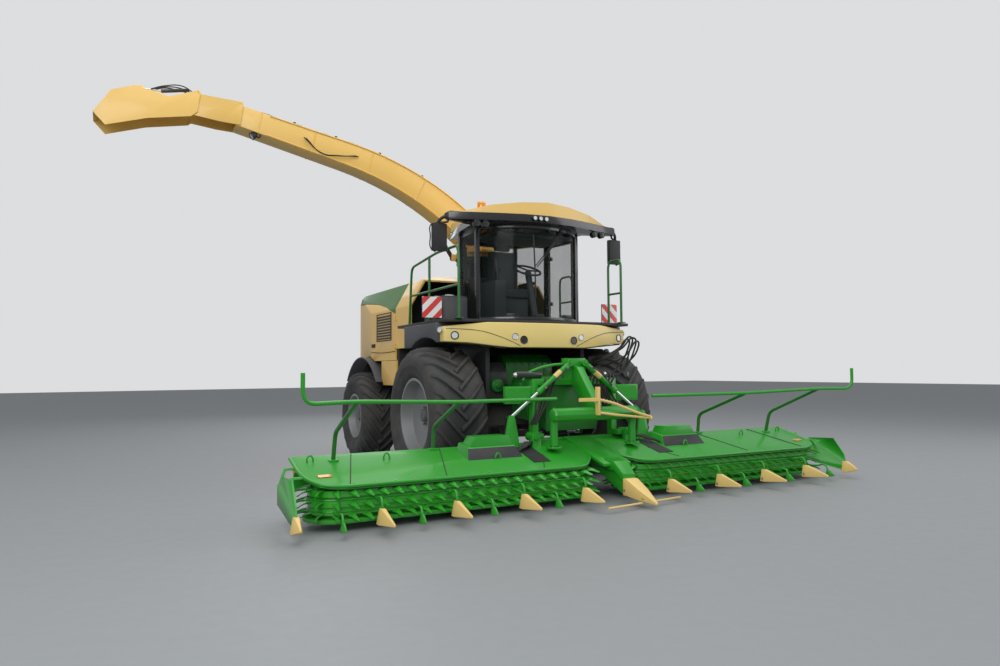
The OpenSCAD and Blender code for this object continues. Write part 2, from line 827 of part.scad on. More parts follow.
module rear_grille() {
  x = 640;
  z = [1750, 2640];
  frame_w = 50;
  bars = 12;
  pitch = (z[1] - z[0] - 2 * frame_w) / bars;
  color("#3b3e42") union() {
    difference() {
      block([-x, x], [tail_y - panel_t, tail_y], z);
      block([-x + frame_w, x - frame_w], [tail_y - 100, tail_y + 100], [z[0] + frame_w, z[1] - frame_w]);
    }
    for (i = [1 : bars - 1]) block([-x + frame_w - 1, x - frame_w + 1], [tail_y - 20, tail_y - 5],
      [z[0] + frame_w + i * pitch - 12, z[0] + frame_w + i * pitch + 12]);
    block([-12, 12], [tail_y - panel_t, tail_y - 19], [z[0] + frame_w - 1, z[1] - frame_w + 1]);
    grille_hinge_eyes();
  }
}

module body_frame() {
  front_y = 1700;
  rear_y = 4180;
  t = 40;
  color("#2f3133") union() {
    intersection() {
      body_form(panel_t);
      union() {
        block([-2000, 2000], [front_y, front_y + t], [0, 3300]);
        block([-2000, 2000], [rear_y, rear_y + t], [0, 3300]);
      }
    }
    for (y = [front_y, rear_y]) block([-rail_x, rail_x], [y, y + t], [rail_top_z, skirt_z]);
    both_sides() for (y = [1800, 2330]) {
      block([body_x - 60, body_x - panel_t - 6], [y, y + 60], [1440, 1801]);
      block([body_x - 60, body_x - panel_t - seat_gap], [y, y + 60], [1440, 1640]);
    }
    both_sides() up([1800, 1880]) polygon([[body_x - 130, front_y + t - 1], [body_x - 35, front_y + t - 1],
      [body_x - 35, taper_y], [tail_x + 4, rear_y + 1], [tail_x - 90, rear_y + 1], [body_x - 130, taper_y]]);
  }
}

module lower_skirts() {
  color("#ecc65f") both_sides() difference() {
    block([body_x - panel_t, body_x], [1750, 2460], [skirt_z, door_bottom_z - door_gap]);
    on_axle(0, wheelbase, rear_axle_z) cylinder(h = 2000, r = arch_r + 35, $fn = 96);
  }
}

module rear_fenders() {
  start = 36;
  color("#3b3e42") both_sides() {
    on_axle(1100, wheelbase, rear_axle_z) linear_extrude(260) difference() {
      circle(r = arch_r + 20, $fn = 96);
      circle(r = arch_r, $fn = 96);
      polygon([[0, 0], [2000 * sin(start) * -1, 2000 * cos(start)], [2000, 2000], [2000, -2000],
        [-2000 * sin(start), -2000 * cos(start)]]);
    }
    block([1108, 1158], [wheelbase - 25, wheelbase + 25], [rear_axle_z + arch_r + 10, 1800 - seat_gap]);
  }
}

module between_axle_tanks() {
  color("#2f3236") both_sides() across([rail_x, 1150]) polygon([[1180, 560], [2060, 560], [2060, 1240],
    [1240, 1240], [1180, 1180]]);
}

module bumper_bar() {
  color("#33363a") union() {
    block([-620, 620], [rail_rear_y, rail_rear_y + 130], [980, rail_top_z]);
    both_sides() block([660, 900], [rail_rear_y - 20, rail_rear_y + 90], [1120, 1250]);
    both_sides() block([610, 670], [rail_rear_y, rail_rear_y + 60], [1130, 1240]);
  }
}

module tow_hitch() {
  ears_z = [850, 950];
  color("#2a2c2e") difference() {
    union() {
      block([-100, 100], [rail_rear_y - 60, rail_rear_y + 130], [820, 980 - seat_gap]);
      for (z = ears_z) block([-60, 60], [rail_rear_y + 129, rail_rear_y + 240], [z - 15, z + 15]);
    }
    translate([0, rail_rear_y + 190, 700]) cylinder(h = 400, r = 16);
  }
}

// Points along the chute's middle line as (outward, height, slope)
chute_slope = [40, 12];
chute_centre = [3156, 235];
chute_steps = 10;

function chute_arc(a) = [chute_centre[0] - chute_bend_r * sin(a), chute_centre[1] + chute_bend_r * cos(a), a];

arc_end = chute_arc(chute_slope[1]);
mouth_a = chute_slope[1];
mouth_z = arc_end[1] + (chute_reach - arc_end[0]) * tan(mouth_a);
chute_line = concat(
  [for (i = [0 : chute_steps]) chute_arc(chute_slope[0] + (chute_slope[1] - chute_slope[0]) * i / chute_steps)],
  [[chute_reach, mouth_z, mouth_a]]);

function chute_depth(u) = chute_base_d + (chute_mouth_d - chute_base_d) * (u - chute_line[0][0])
  / (chute_reach - chute_line[0][0]);

// One edge of the chute, half its depth less a wall above or below the middle
function chute_edge(side, wall) = [for (p = chute_line) let (h = side * (chute_depth(p[0]) / 2 - wall))
  [-(p[0] - h * sin(p[2])), p[1] + h * cos(p[2])]];

// A point in the mouth's own frame, along the chute and above its middle
function mouth(p) = [-(chute_reach + p[0] * cos(mouth_a) - p[1] * sin(mouth_a)),
  mouth_z + p[0] * sin(mouth_a) + p[1] * cos(mouth_a)];

function mouth_all(points) = [for (p = points) mouth(p)];

flap_a_pin = [-15, chute_mouth_d / 2 + 24];
flap_b_pin = [545, 106];
flap_pin_r = 12;
boom_pin_r = 30;
elbow_half = 150;
elbow_r = 270;

// Places children with +X from p towards q, in a plane square to Y
module aim_xz(p, y, q) {
  translate([p[0], y, p[1]]) rotate([0, -atan2(q[1] - p[1], q[0] - p[0]), 0]) children();
}

// Places children with +X from p towards q, both as (y, z), in a plane square to X
module aim_yz(x, p, q) {
  translate([x, p[0], p[1]]) rotate([atan2(q[1] - p[1], q[0] - p[0]), 0, 0]) rotate([0, 0, 90]) children();
}

module ram_barrel(r, rod_r, length, pin_r, eye_w) {
  neck = 55;
  difference() {
    union() {
      translate([neck - 5, 0, 0]) rotate([0, 90, 0]) cylinder(h = length - neck + 5, r = r);
      rotate([90, 0, 0]) cylinder(h = eye_w, r = pin_r + 22, center = true);
      translate([0, -eye_w / 2, -28]) cube([neck, eye_w, 56]);
    }
    rotate([90, 0, 0]) cylinder(h = eye_w + 20, r = pin_r + pin_clear, center = true);
    translate([neck + 5, 0, 0]) rotate([0, 90, 0]) cylinder(h = length, r = rod_r + pin_clear);
  }
}

module ram_rod(rod_r, tail, reach, eye_w) {
  translate([tail, 0, 0]) rotate([0, 90, 0]) cylinder(h = reach - tail - 20, r = rod_r);
  translate([reach, 0, 0]) rotate([90, 0, 0]) cylinder(h = eye_w, r = 40, center = true);
}

module chute_turret() {
  pivot = [-boom_pivot[0], boom_pivot[1]];
  low_z = turret_z + seat_gap;
  neck_z = 3450;
  anchor = [-boom_cyl_anchor[0], boom_cyl_anchor[1]];
  color("#ecc65f") union() {
    translate([0, chute_y, low_z]) cylinder(h = neck_z - low_z, r = turret_r);
    intersection() {
      union() {
        y_bar(pivot[0], [chute_y - elbow_half, chute_y + elbow_half], pivot[1], elbow_r);
        block([-180, 240], [chute_y - elbow_half, chute_y + elbow_half], [neck_z - 1, 3640]);
      }
      block([-600, 600], [chute_y - 300, chute_y + 300], [neck_z - 1, 4000]);
    }
    y_bar(pivot[0], [chute_y - chute_w / 2 - 25, chute_y + chute_w / 2 + 25], pivot[1], boom_pin_r);
    block([anchor[0] - 40, -150], [chute_y + 180, chute_y + 200], [anchor[1] - 50, anchor[1] + 60]);
    y_bar(anchor[0], [chute_y + 190, chute_y + 272], anchor[1], 20);
  }
}

module chute_boom() {
  pivot = [-boom_pivot[0], boom_pivot[1]];
  side = chute_w / 2;
  top = chute_edge(1, 0);
  low = chute_edge(-1, 0);
  eye = [-boom_cyl_eye[0], boom_cyl_eye[1]];
  pin_a = mouth(flap_a_pin);
  half_d = chute_mouth_d / 2 - chute_t;
  color("#ecc65f") difference() {
    union() {
      difference() {
        along([chute_y - side, chute_y + side]) polygon(concat(top, reversed(low)));
        along([chute_y - side + chute_t, chute_y + side - chute_t])
          polygon(concat([top[0] + [60, 60]], chute_edge(1, chute_t), mouth_all([[60, half_d], [60, -half_d]]),
            reversed(chute_edge(-1, chute_t)), [low[0] + [60, -60]]));
      }
      for (y = [chute_y - side, chute_y + side - chute_t]) {
        along([y, y + chute_t]) polygon([[pivot[0] - 40, pivot[1] - 72], [pivot[0] + 60, pivot[1] + 42],
          top[0], top[1], low[1], low[0]]);
        y_bar(pivot[0], [y, y + chute_t], pivot[1], 75);
      }
      y_bar(eye[0], [chute_y + side - 1, chute_y + side + 32], eye[1], 42);
      y_bar(pin_a[0], [chute_y - side - 17, chute_y + side + 17], pin_a[1], flap_pin_r);
      for (y = [-140, 110]) along([chute_y + y, chute_y + y + 30]) polygon(mouth_all([[-60, 140], [-5, 140],
        [-2, flap_a_pin[1]], [-28, flap_a_pin[1] + 8]]));
    }
    y_bar(pivot[0], [0, 3000], pivot[1], boom_pin_r + pin_clear);
  }
}

module chute_flap_inner() {
  inner = chute_w / 2 + 6;
  outer = inner + 10;
  pin_a = mouth(flap_a_pin);
  pin_b = mouth(flap_b_pin);
  side = [[-34, 158], [-15, 192], [20, 184], [560, 86], [560, -215], [200, -176], [-60, -130]];
  color("#ecc65f") difference() {
    union() {
      for (y = [-outer, inner]) along([chute_y + y, chute_y + y + 10]) polygon(mouth_all(side));
      along([chute_y - inner - 1, chute_y + inner + 1])
        polygon(mouth_all([[20, 184], [560, 86], [560, 74], [20, 172]]));
      for (y = [-140, 110]) along([chute_y + y, chute_y + y + 30])
        polygon(mouth_all([[490, 90], [560, 80], [562, flap_b_pin[1]], [530, flap_b_pin[1] + 9]]));
      y_bar(pin_b[0], [chute_y - outer - 18, chute_y + outer + 18], pin_b[1], flap_pin_r);
    }
    y_bar(pin_a[0], [0, 3000], pin_a[1], flap_pin_r + pin_clear);
  }
}

module chute_flap_outer() {
  inner = chute_w / 2 + 22;
  outer = inner + 10;
  pin_b = mouth(flap_b_pin);
  crest = [[600, 96], [869, -85], [1277, -92], [1519, -250], [1651, -599]];
  under = [[1638, -600], [1508, -258], [1270, -104], [872, -98], [600, 82]];
  color("#ecc65f") difference() {
    union() {
      for (y = [-outer, inner]) along([chute_y + y, chute_y + y + 10])
        polygon(mouth_all(concat([[516, 100], [545, 136], [580, 118]], crest,
          [[1483, -719], [1047, -460], [560, -245], [500, -160]])));
      along([chute_y - inner - 1, chute_y + inner + 1]) polygon(mouth_all(concat(crest, under)));
      for (y = [-60, 35]) along([chute_y + y, chute_y + y + 25])
        polygon(mouth_all([[1150, -95], [1290, -98], [1240, -10], [1205, -10]]));
    }
    y_bar(pin_b[0], [0, 3000], pin_b[1], flap_pin_r + pin_clear);
  }
}

chute_ram_y = chute_y + 240;
chute_ram_reach = norm(boom_cyl_eye - boom_cyl_anchor);

module chute_ram_place() {
  aim_xz([-boom_cyl_anchor[0], boom_cyl_anchor[1]], chute_ram_y, [-boom_cyl_eye[0], boom_cyl_eye[1]])
    children();
}

module chute_lift_barrel() {
  color("#2a2c2e") chute_ram_place() ram_barrel(34, 20, 520, 20, 44);
}

module chute_lift_rod() {
  color("#d9dde0") chute_ram_place() ram_rod(20, 225, chute_ram_reach, 44);
}

intake_half = drum_x + 6;
frame_y = [-1395, -1300];

module intake_housing() {
  arm_x = drum_x + 5;
  rear_y = intake_y - 120;
  color("#3a6f3f") difference() {
    union() {
      across([-intake_half, intake_half]) polygon([[rear_y, 900], [-1000, 860], [intake_front_y, 760],
        [intake_front_y, 1380], [-1150, 1440], [rear_y - 80, 1450], [rear_y, 1380]]);
      both_sides() across([arm_x, arm_x + intake_arm_t]) union() {
        polygon([[intake_y, intake_z - 85], [intake_y, intake_z + 85], [-700, intake_z + 110],
          [-700, intake_z - 200]]);
        translate([intake_y, intake_z]) circle(r = 85);
      }
      both_sides() across([lift_x + 30, lift_x + 55]) polygon([[-900, 900], [-1100, 900],
        [lift_eye[0] - 40, lift_eye[1] - 42], [lift_eye[0] + 40, lift_eye[1] - 42]]);
    }
    x_bar([-600, 600], intake_y, intake_z, trunnion_r + pin_clear);
  }
}

function deck_z_at(y) = deck_front_z + (deck_rear_z - deck_front_z) * (y - deck_front_y)
  / (deck_rear_y - deck_front_y);

deck_plate_t = 30;
fold_pin_r = 40;
fold_lug_y = [-1585, -1527];
fold_ear_y = [-1506, -1474];
fold_rod_tail = 475;

module header_mount() {
  upright = [560, 640];
  color("#2f7d3c") union() {
    both_sides() block(upright, frame_y, [560, 1420]);
    block([-upright[1], upright[1]], frame_y, [1340, 1420]);
    block([-upright[1], upright[1]], frame_y, [600, 680]);
    block([-160, 160], [frame_y[0], frame_y[1] - 20], [1419, 1675]);
  }
  header_arm();
  header_brackets();
}

// In front of the header's frame: the arm, the beam on its posts, the middle plate and divider
module header_arm() {
  front_y = frame_y[0] - seat_gap;
  post = [583, -1785];
  beam_y = [-1900, -1750];
  beam_z = [920, 1064];
  color("#2f7d3c") {
    difference() {
      across([-50, 50]) polygon([[front_y, 1580], [front_y, 1330], [-1755, 950], [-1880, 950],
        [-1880, 1110], [-1500, 1560]]);
      block([-51, 51], [beam_y[0] - 1, beam_y[1] + seat_gap], [beam_z[0] - seat_gap, beam_z[1] + seat_gap]);
    }
    union() {
      block([-618, 618], beam_y, beam_z);
      both_sides() {
        translate([post[0], post[1], 596]) cylinder(h = 26, r = 52, $fn = 8);
        translate([post[0], post[1], 600]) cylinder(h = 330, r = 36);
      }
    }
    union() {
      across([-195, 195]) polygon([[front_y, 690], [front_y, 630],
        [deck_front_y, deck_front_z - deck_plate_t], [deck_front_y, deck_front_z]]);
      across([-60, 60]) polygon([[-1660, 560], [deck_front_y, 442], [-2390, 250], [-2800, 90], [-2800, 70],
        [-2380, 120], [deck_front_y, 190], [-1660, 420]]);
    }
  }
}

// Bolted to the header's frame: side plates, fold brackets, upper pins and the accumulator
module header_brackets() {
  side_x = 640 + seat_gap;
  front_y = frame_y[0] - seat_gap;
  color("#2f7d3c") both_sides() {
    block([side_x, 1010], [frame_y[0] + 10, frame_y[1] - 20], [1120, 1330]);
    union() {
      block([560, fold_x], [-1522, front_y], [fold_z - 32, fold_z + 32]);
      y_bar(fold_x, [-1522, front_y], fold_z, 52);
      y_bar(fold_x, [fold_lug_y[0] - 12, -1500], fold_z, fold_pin_r);
    }
    y_bar(fold_anchor[0], [fold_cyl_y - 32, front_y], fold_anchor[1], 22);
  }
  color("#2a2c2e") x_bar([-850, -500], -1345, 1467 + seat_gap, 47);
}

module header_bracket() {
  color("#ecc65f") {
    union() {
      block([-60, -30], [-1965, -1900], [980, 1320]);
      block([-330, -31], [-1965, -1940], [1148, 1190]);
      tube_run([[-45, -1945, 1010], [230, -1945, 972], [730, -1945, 918]], 16);
    }
    union() {
      bar([0, -2790, 78], [0, -2950, 45], 26);
      bar([-560, -2812, 58], [560, -2672, 58], 12);
      block([-62, 62], [-2790, -2700], [50, 100]);
    }
  }
}

// Outline round the collecting belt at a given radius
function belt_outline(r, n) = concat(
  [for (i = [0 : n]) let (a = -90 + 180 * i / n) [belt_out_x + r * cos(a), belt_y + r * sin(a)]],
  [for (i = [0 : n]) let (a = 90 + 180 * i / n) [belt_in_x + r * cos(a), belt_y + r * sin(a)]]);

belt_run = belt_out_x - belt_in_x;
belt_length = 2 * belt_run + 2 * PI * belt_r;

// Place on the belt s along it, reach out from its face
function belt_at(s, reach) =
  let (bend = PI * belt_r, q = s % belt_length, r = belt_r + reach)
  q < belt_run ? [belt_in_x + q, belt_y - r]
  : q < belt_run + bend ? let (a = -90 + 180 * (q - belt_run) / bend)
    [belt_out_x + r * cos(a), belt_y + r * sin(a)]
  : q < 2 * belt_run + bend ? [belt_out_x - (q - belt_run - bend), belt_y + r]
  : let (a = 90 + 180 * (q - 2 * belt_run - bend) / bend) [belt_in_x + r * cos(a), belt_y + r * sin(a)];

tine_pitch = belt_length / tine_n;
tine_reach = tine_r - belt_r;
tine_points = [for (i = [0 : tine_n - 1]) for (p = [[0.04, 0], [0.34, 0.86], [0.46, 1], [0.74, 0]])
  belt_at((i + p[0]) * tine_pitch, p[1] * tine_reach)];

module collector(left) {
  tiers = [150, 262, 374];
  color("#b9bcbf") placed(left) difference() {
    union() {
      for (z = tiers) up([z, z + tine_t]) polygon(tine_points);
      for (i = [0, 1]) up([tiers[i] + tine_t, tiers[i + 1]]) polygon(belt_outline(belt_r, 24));
    }
    up([0, 1000]) polygon(belt_outline(220, 12));
  }
}

module header_deck(left) {
  x = [200, 3590];
  low = 80;
  color("#2f7d3c") placed(left) difference() {
    union() {
      intersection() {
        across(x) polygon([[deck_front_y, deck_front_z], [deck_rear_y, deck_rear_z],
          [deck_rear_y, deck_rear_z - deck_plate_t], [deck_front_y, deck_front_z - deck_plate_t]]);
        up([300, 800]) polygon([[x[0], deck_rear_y], [x[0], deck_front_y + 260],
          [x[0] + 200, deck_front_y + 40], [x[0] + 330, deck_front_y], [x[1] - 330, deck_front_y],
          [x[1] - 130, deck_front_y + 70],
          [x[1] - 30, deck_front_y + 240], [x[1], deck_front_y + 420], [x[1], deck_rear_y]]);
      }
      intersection() {
        up([low, 800]) polygon(belt_outline(219.4, 12));
        across(x) polygon([[deck_front_y, low], [deck_rear_y, low], [deck_rear_y, deck_rear_z - 15],
          [deck_front_y, deck_front_z - 15]]);
      }
      up([low, 118]) polygon(belt_outline(330, 16));
      block([x[0] + 240, x[1] - 40], [deck_rear_y - 22, deck_rear_y], [300, deck_rear_z - 10]);
      for (k = [900, 1900, 2900]) block([k, k + 60], [belt_y + 200, deck_rear_y - 1], [82, 118]);
      for (k = [900, 1900, 2900]) block([k, k + 60], [deck_rear_y - 23, deck_rear_y], [82, 320]);
      along(fold_lug_y) union() {
        polygon([[fold_x - 62, 590], [fold_x + 62, 590], [fold_x + 62, fold_z], [fold_x - 62, fold_z]]);
        translate([fold_x, fold_z]) circle(r = 62);
      }
      along(fold_ear_y) polygon([[fold_eye[0] - 110, 600], [fold_eye[0] + 110, 600],
        [fold_eye[0] + 45, fold_eye[1]], [fold_eye[0] + 20, fold_eye[1] + 42],
        [fold_eye[0] - 20, fold_eye[1] + 42], [fold_eye[0] - 45, fold_eye[1]]]);
      along([-1740, -1520]) polygon([[1080, 600], [1720, 600], [1600, 780], [1180, 780]]);
    }
    y_bar(fold_x, [-3000, 0], fold_z, fold_pin_r + pin_clear);
  }
}

module divider_rods(left) {
  rod_r = 16;
  edge_y = deck_front_y - seat_gap;
  skid_y = belt_y - 330 - seat_gap;
  color("#2f7d3c") placed(left) {
    for (k = [0 : 3]) {
      x = divider_x + k * divider_pitch;
      union() {
        tube_run([[x, edge_y, 425], [x, -2376, 425], [x, -2424, 350], [x, -2452, 205]], rod_r);
        bar([x, -2446, 208], [x, -2600, 145], 52);
        bar([x, -2599, 145], [x, -2810, 60], 24);
        tube_run([[x, -2449, 205], [x, -2384, 122], [x, -2250, 100]], rod_r - 1);
        block([x - 20, x + 20], [-2260, skid_y], [82, 116]);
      }
    }
    for (k = [0 : 3]) {
      x = divider_x + (k + 0.5) * divider_pitch;
      tube_run([[x, k < 3 ? edge_y : -2220.05, 425], [x, -2378, 425], [x, -2430, 330], [x, -2470, 200],
        [x, -2510, 130]], rod_r);
    }
    union() {
      across([3742, 3760]) polygon([[-1670, 400], [-1680, 220], [-2460, 100], [-2480, 200], [-2450, 330],
        [-2290, 540], [-1900, 520]]);
      for (p = [[3590.3, -1700, 400], [3574, -1950, 440]])
        tube_run([[p[0], p[1], deck_z_at(p[1]) - 15], [3690, p[1], deck_z_at(p[1]) - 15],
          [3748, p[1], p[2]]], rod_r - 2);
      bar([3751, -2455, 112], [3751, -2600, 80], 26);
    }
  }
}

module guard_bars(left) {
  run = [[709, -2034, 1196], [2068, -2283, 1206], [3222, -2491, 1248], [3735, -2620, 1240]];
  stay_r = guard_r - 3;
  foot_a = 2.8;
  foot_b = 0.55;
  color("#2f7d3c") placed(left) union() {
    tube_run(concat(run, [[3735, -2620, 1520]]), guard_r);
    tube_run([[2000, deck_rear_y - 30, deck_z_at(deck_rear_y - 30) + foot_a], [2000, deck_rear_y - 60, 900],
      [2052, -2276, 1202]], stay_r);
    tube_run([[3180, -1600, deck_z_at(-1600) + foot_b], [3180, -1680, 900], [3204, -2484, 1244]], stay_r);
  }
}

fold_ram_reach = norm(fold_eye - fold_anchor);

module fold_ram_place(left) {
  placed(left) aim_xz(fold_anchor, fold_cyl_y, fold_eye) children();
}

module fold_barrel(left) {
  color("#2a2c2e") fold_ram_place(left) ram_barrel(36, 22, 600, 22, 44);
}

module fold_rod(left) {
  color("#d9dde0") fold_ram_place(left) ram_rod(22, fold_rod_tail, fold_ram_reach, 40);
}

module header_lift_barrels() {
  color("#2a2c2e") both_sides() aim_yz(lift_x, lift_anchor, lift_eye) ram_barrel(48, 28, 560, 25, 50);
}

module header_lift_rods() {
  color("#d9dde0") both_sides() aim_yz(lift_x, lift_anchor, lift_eye)
    ram_rod(28, 72, norm(lift_eye - lift_anchor), 46);
}

module drum_housing() {
  color("#1f5f2c") union() {
    drum_case();
    side_gearboxes();
  }
}

module platform() {
  color("#3b3e42") union() {
    platform_deck();
    ladder();
  }
}

module tanks_and_locker() {
  side_locker();
  between_axle_tanks();
}

module cab_roof() {
  roof_shell();
  roof_lamps();
}

module cab_console() {
  console_block();
  steering_column();
}

module body_panels() {
  front_cheeks();
  rear_shell();
  lower_skirts();
}

module rear_bumper() {
  bumper_bar();
  tow_hitch();
}

module header_frame() {
  header_mount();
  header_bracket();
}

chassis_frame();
front_axle();
rear_axle();
engine_block();
drum_housing();
crop_channel();
front_fenders();
platform();
handrails();
tanks_and_locker();
warning_boards();
front_light_beam();
cab_frame();
cab_windows();
cab_roof();
cab_seat();
cab_console();
mirrors();
hood_top();
body_panels();
body_frame();
rear_fenders();
rear_bumper();
cab_door();
cab_door_glass();
side_door(false);  // side_door_right
side_door(true);  // side_door_left
rear_grille();
knuckle(false);  // knuckle_right
knuckle(true);  // knuckle_left
front_tyre(false);  // tyre_front_right
front_rim(false);  // rim_front_right
front_tyre(true);  // tyre_front_left
front_rim(true);  // rim_front_left
rear_tyre(false);  // tyre_rear_right
rear_rim(false);  // rim_rear_right
rear_tyre(true);  // tyre_rear_left
rear_rim(true);  // rim_rear_left
chute_turret();
chute_boom();
chute_flap_inner();
chute_flap_outer();
chute_lift_barrel();
chute_lift_rod();
intake_housing();
header_frame();
header_lift_barrels();
header_lift_rods();
header_deck(false);  // header_deck_right
header_deck(true);  // header_deck_left
collector(false);  // collector_right
collector(true);  // collector_left
divider_rods(false);  // dividers_right
divider_rods(true);  // dividers_left
guard_bars(false);  // guard_bars_right
guard_bars(true);  // guard_bars_left
fold_barrel(false);  // fold_barrel_right
fold_rod(false);  // fold_rod_right
fold_barrel(true);  // fold_barrel_left
fold_rod(true);  // fold_rod_left
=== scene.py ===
"""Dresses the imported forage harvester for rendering.

Lengths are in metres, +Z is up, the machine faces -Y and +X is its left side.
"""
import json
import logging
import math
from dataclasses import dataclass
from enum import Enum
from typing import Callable, Iterable, Sequence, Union

import bpy
from mathutils import Matrix, Vector

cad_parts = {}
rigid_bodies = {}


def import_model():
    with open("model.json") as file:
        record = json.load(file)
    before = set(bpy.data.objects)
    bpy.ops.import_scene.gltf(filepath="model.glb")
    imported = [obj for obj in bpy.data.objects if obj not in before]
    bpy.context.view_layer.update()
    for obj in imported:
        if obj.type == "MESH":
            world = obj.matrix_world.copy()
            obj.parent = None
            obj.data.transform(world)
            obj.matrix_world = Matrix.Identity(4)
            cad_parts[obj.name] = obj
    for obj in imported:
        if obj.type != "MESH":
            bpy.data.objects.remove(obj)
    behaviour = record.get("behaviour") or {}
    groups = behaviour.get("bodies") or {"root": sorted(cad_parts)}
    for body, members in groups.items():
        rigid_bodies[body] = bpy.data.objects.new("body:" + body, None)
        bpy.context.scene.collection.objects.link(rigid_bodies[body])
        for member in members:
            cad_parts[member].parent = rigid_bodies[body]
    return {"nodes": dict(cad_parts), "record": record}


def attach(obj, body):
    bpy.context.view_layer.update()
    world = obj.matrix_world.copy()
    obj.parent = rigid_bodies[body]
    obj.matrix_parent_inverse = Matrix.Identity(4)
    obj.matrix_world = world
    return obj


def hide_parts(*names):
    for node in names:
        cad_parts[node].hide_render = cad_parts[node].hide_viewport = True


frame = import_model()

LOG = logging.getLogger("harvester")
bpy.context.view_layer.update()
Point = Sequence[float]
Colour = tuple[float, float, float]
Value = Union["Sock", float]


class Side(Enum):
    """A side of the machine, with the sign of its X."""

    RIGHT = -1
    LEFT = 1

    @property
    def word(self) -> str:
        """The side's name as the nodes and bodies spell it."""
        return self.name.lower()




class Sock:
    """A shader socket that takes part in Python expressions."""

    def __init__(self, shader: "Shader", socket: bpy.types.NodeSocket) -> None:
        """Keeps the socket and the shader that it belongs to."""
        self.shader = shader
        self.socket = socket

    def __add__(self, other: Value) -> "Sock":
        """The sum."""
        return self.shader.math("ADD", self, other)

    __radd__ = __add__

    def __sub__(self, other: Value) -> "Sock":
        """The difference."""
        return self.shader.math("SUBTRACT", self, other)

    def __rsub__(self, other: Value) -> "Sock":
        """A number less this socket."""
        return self.shader.math("SUBTRACT", other, self)

    def __mul__(self, other: Value) -> "Sock":
        """The product."""
        return self.shader.math("MULTIPLY", self, other)

    __rmul__ = __mul__

    def __truediv__(self, other: Value) -> "Sock":
        """The quotient."""
        return self.shader.math("DIVIDE", self, other)

    def above(self, limit: Value) -> "Sock":
        """1 where this is more than the limit."""
        return self.shader.math("GREATER_THAN", self, limit)

    def fract(self) -> "Sock":
        """The part after the point."""
        return self.shader.math("FRACT", self)

    def size(self) -> "Sock":
        """The value without its sign."""
        return self.shader.math("ABSOLUTE", self)

    def power(self, exponent: Value) -> "Sock":
        """This value to a power."""
        return self.shader.math("POWER", self, exponent)

    def eased(self, low: float, high: float) -> "Sock":
        """0 below low and 1 above high, with a smooth step between them."""
        node = self.shader.node("ShaderNodeMapRange", {"interpolation_type": "SMOOTHSTEP"},
                                {"Value": self, "From Min": low, "From Max": high})
        return Sock(self.shader, node.outputs[0])


class Shader:
    """A material under construction."""

    def __init__(self, name: str) -> None:
        """Starts a material that holds only its output and its surface."""
        self.material = bpy.data.materials.new(name + "_finish")
        self.material.use_nodes = True
        self.tree = self.material.node_tree
        self.tree.nodes.clear()
        self.output = self.tree.nodes.new("ShaderNodeOutputMaterial")
        self.surface = self.tree.nodes.new("ShaderNodeBsdfPrincipled")
        self.tree.links.new(self.surface.outputs[0], self.output.inputs[0])

    def node(self, kind: str, settings: dict | None = None,
             sockets: dict | None = None) -> bpy.types.Node:
        """Adds a node.

        Args:
            kind: the node's type.
            settings: its properties, set before its sockets.
            sockets: values or links, by socket name or number.

        Returns:
            The node.
        """
        node = self.tree.nodes.new(kind)
        for key, value in (settings or {}).items():
            setattr(node, key, value)
        for key, value in (sockets or {}).items():
            self.feed(node.inputs[key], value)
        return node

    def feed(self, socket: bpy.types.NodeSocket, value: object) -> None:
        """Links a socket, or sets its own value."""
        if isinstance(value, Sock):
            self.tree.links.new(value.socket, socket)
        elif isinstance(value, tuple) and len(value) == 3 and socket.type == "RGBA":
            socket.default_value = (*value, 1.0)
        else:
            socket.default_value = value

    def math(self, operation: str, *values: Value) -> Sock:
        """A Math node on one or two values."""
        node = self.node("ShaderNodeMath", {"operation": operation}, dict(enumerate(values)))
        return Sock(self, node.outputs[0])

    def place(self, scale: Point = (1, 1, 1), turn: Point = (0, 0, 0), centre: Point = (0, 0, 0)) -> Sock:
        """The piece's own coordinates in metres, turned and stretched."""
        coords = self.node("ShaderNodeTexCoord")
        if (tuple(scale), tuple(turn), tuple(centre)) == ((1, 1, 1), (0, 0, 0), (0, 0, 0)):
            return Sock(self, coords.outputs["Object"])
        node = self.node("ShaderNodeMapping", {}, {
            "Vector": Sock(self, coords.outputs["Object"]), "Location": tuple(centre),
            "Rotation": tuple(turn), "Scale": tuple(scale)})
        return Sock(self, node.outputs[0])

    def axes(self, vector: Sock | None = None) -> tuple[Sock, Sock, Sock]:
        """The X, Y and Z of a place."""
        node = self.node("ShaderNodeSeparateXYZ", {}, {0: vector or self.place()})
        return tuple(Sock(self, out) for out in node.outputs)

    def noise(self, scale: float, detail: float = 3.0, vector: Sock | None = None) -> Sock:
        """Soft noise between 0 and 1."""
        node = self.node("ShaderNodeTexNoise", {}, {
            "Vector": vector or self.place(), "Scale": scale, "Detail": detail, "Roughness": 0.55})
        return Sock(self, node.outputs[0])

    def cells(self, scale: float, vector: Sock | None = None) -> Sock:
        """Distance from the middle of each cell."""
        node = self.node("ShaderNodeTexVoronoi", {}, {"Vector": vector or self.place(), "Scale": scale})
        return Sock(self, node.outputs["Distance"])

    def mix(self, share: Value, first: Sock | Colour, second: Sock | Colour) -> Sock:
        """Two colours, mixed."""
        node = self.node("ShaderNodeMix", {"data_type": "RGBA"}, {0: share, 6: first, 7: second})
        return Sock(self, node.outputs[2])

    def bump(self, height: Sock, strength: float, distance: float) -> Sock:
        """A normal that follows a height."""
        node = self.node("ShaderNodeBump", {}, {"Strength": strength, "Distance": distance, "Height": height})
        return Sock(self, node.outputs[0])

    def done(self, **sockets: object) -> bpy.types.Material:
        """Sets the surface's sockets by name, with _ for a space."""
        for key, value in sockets.items():
            self.feed(self.surface.inputs[key.replace("_", " ")], value)
        return self.material



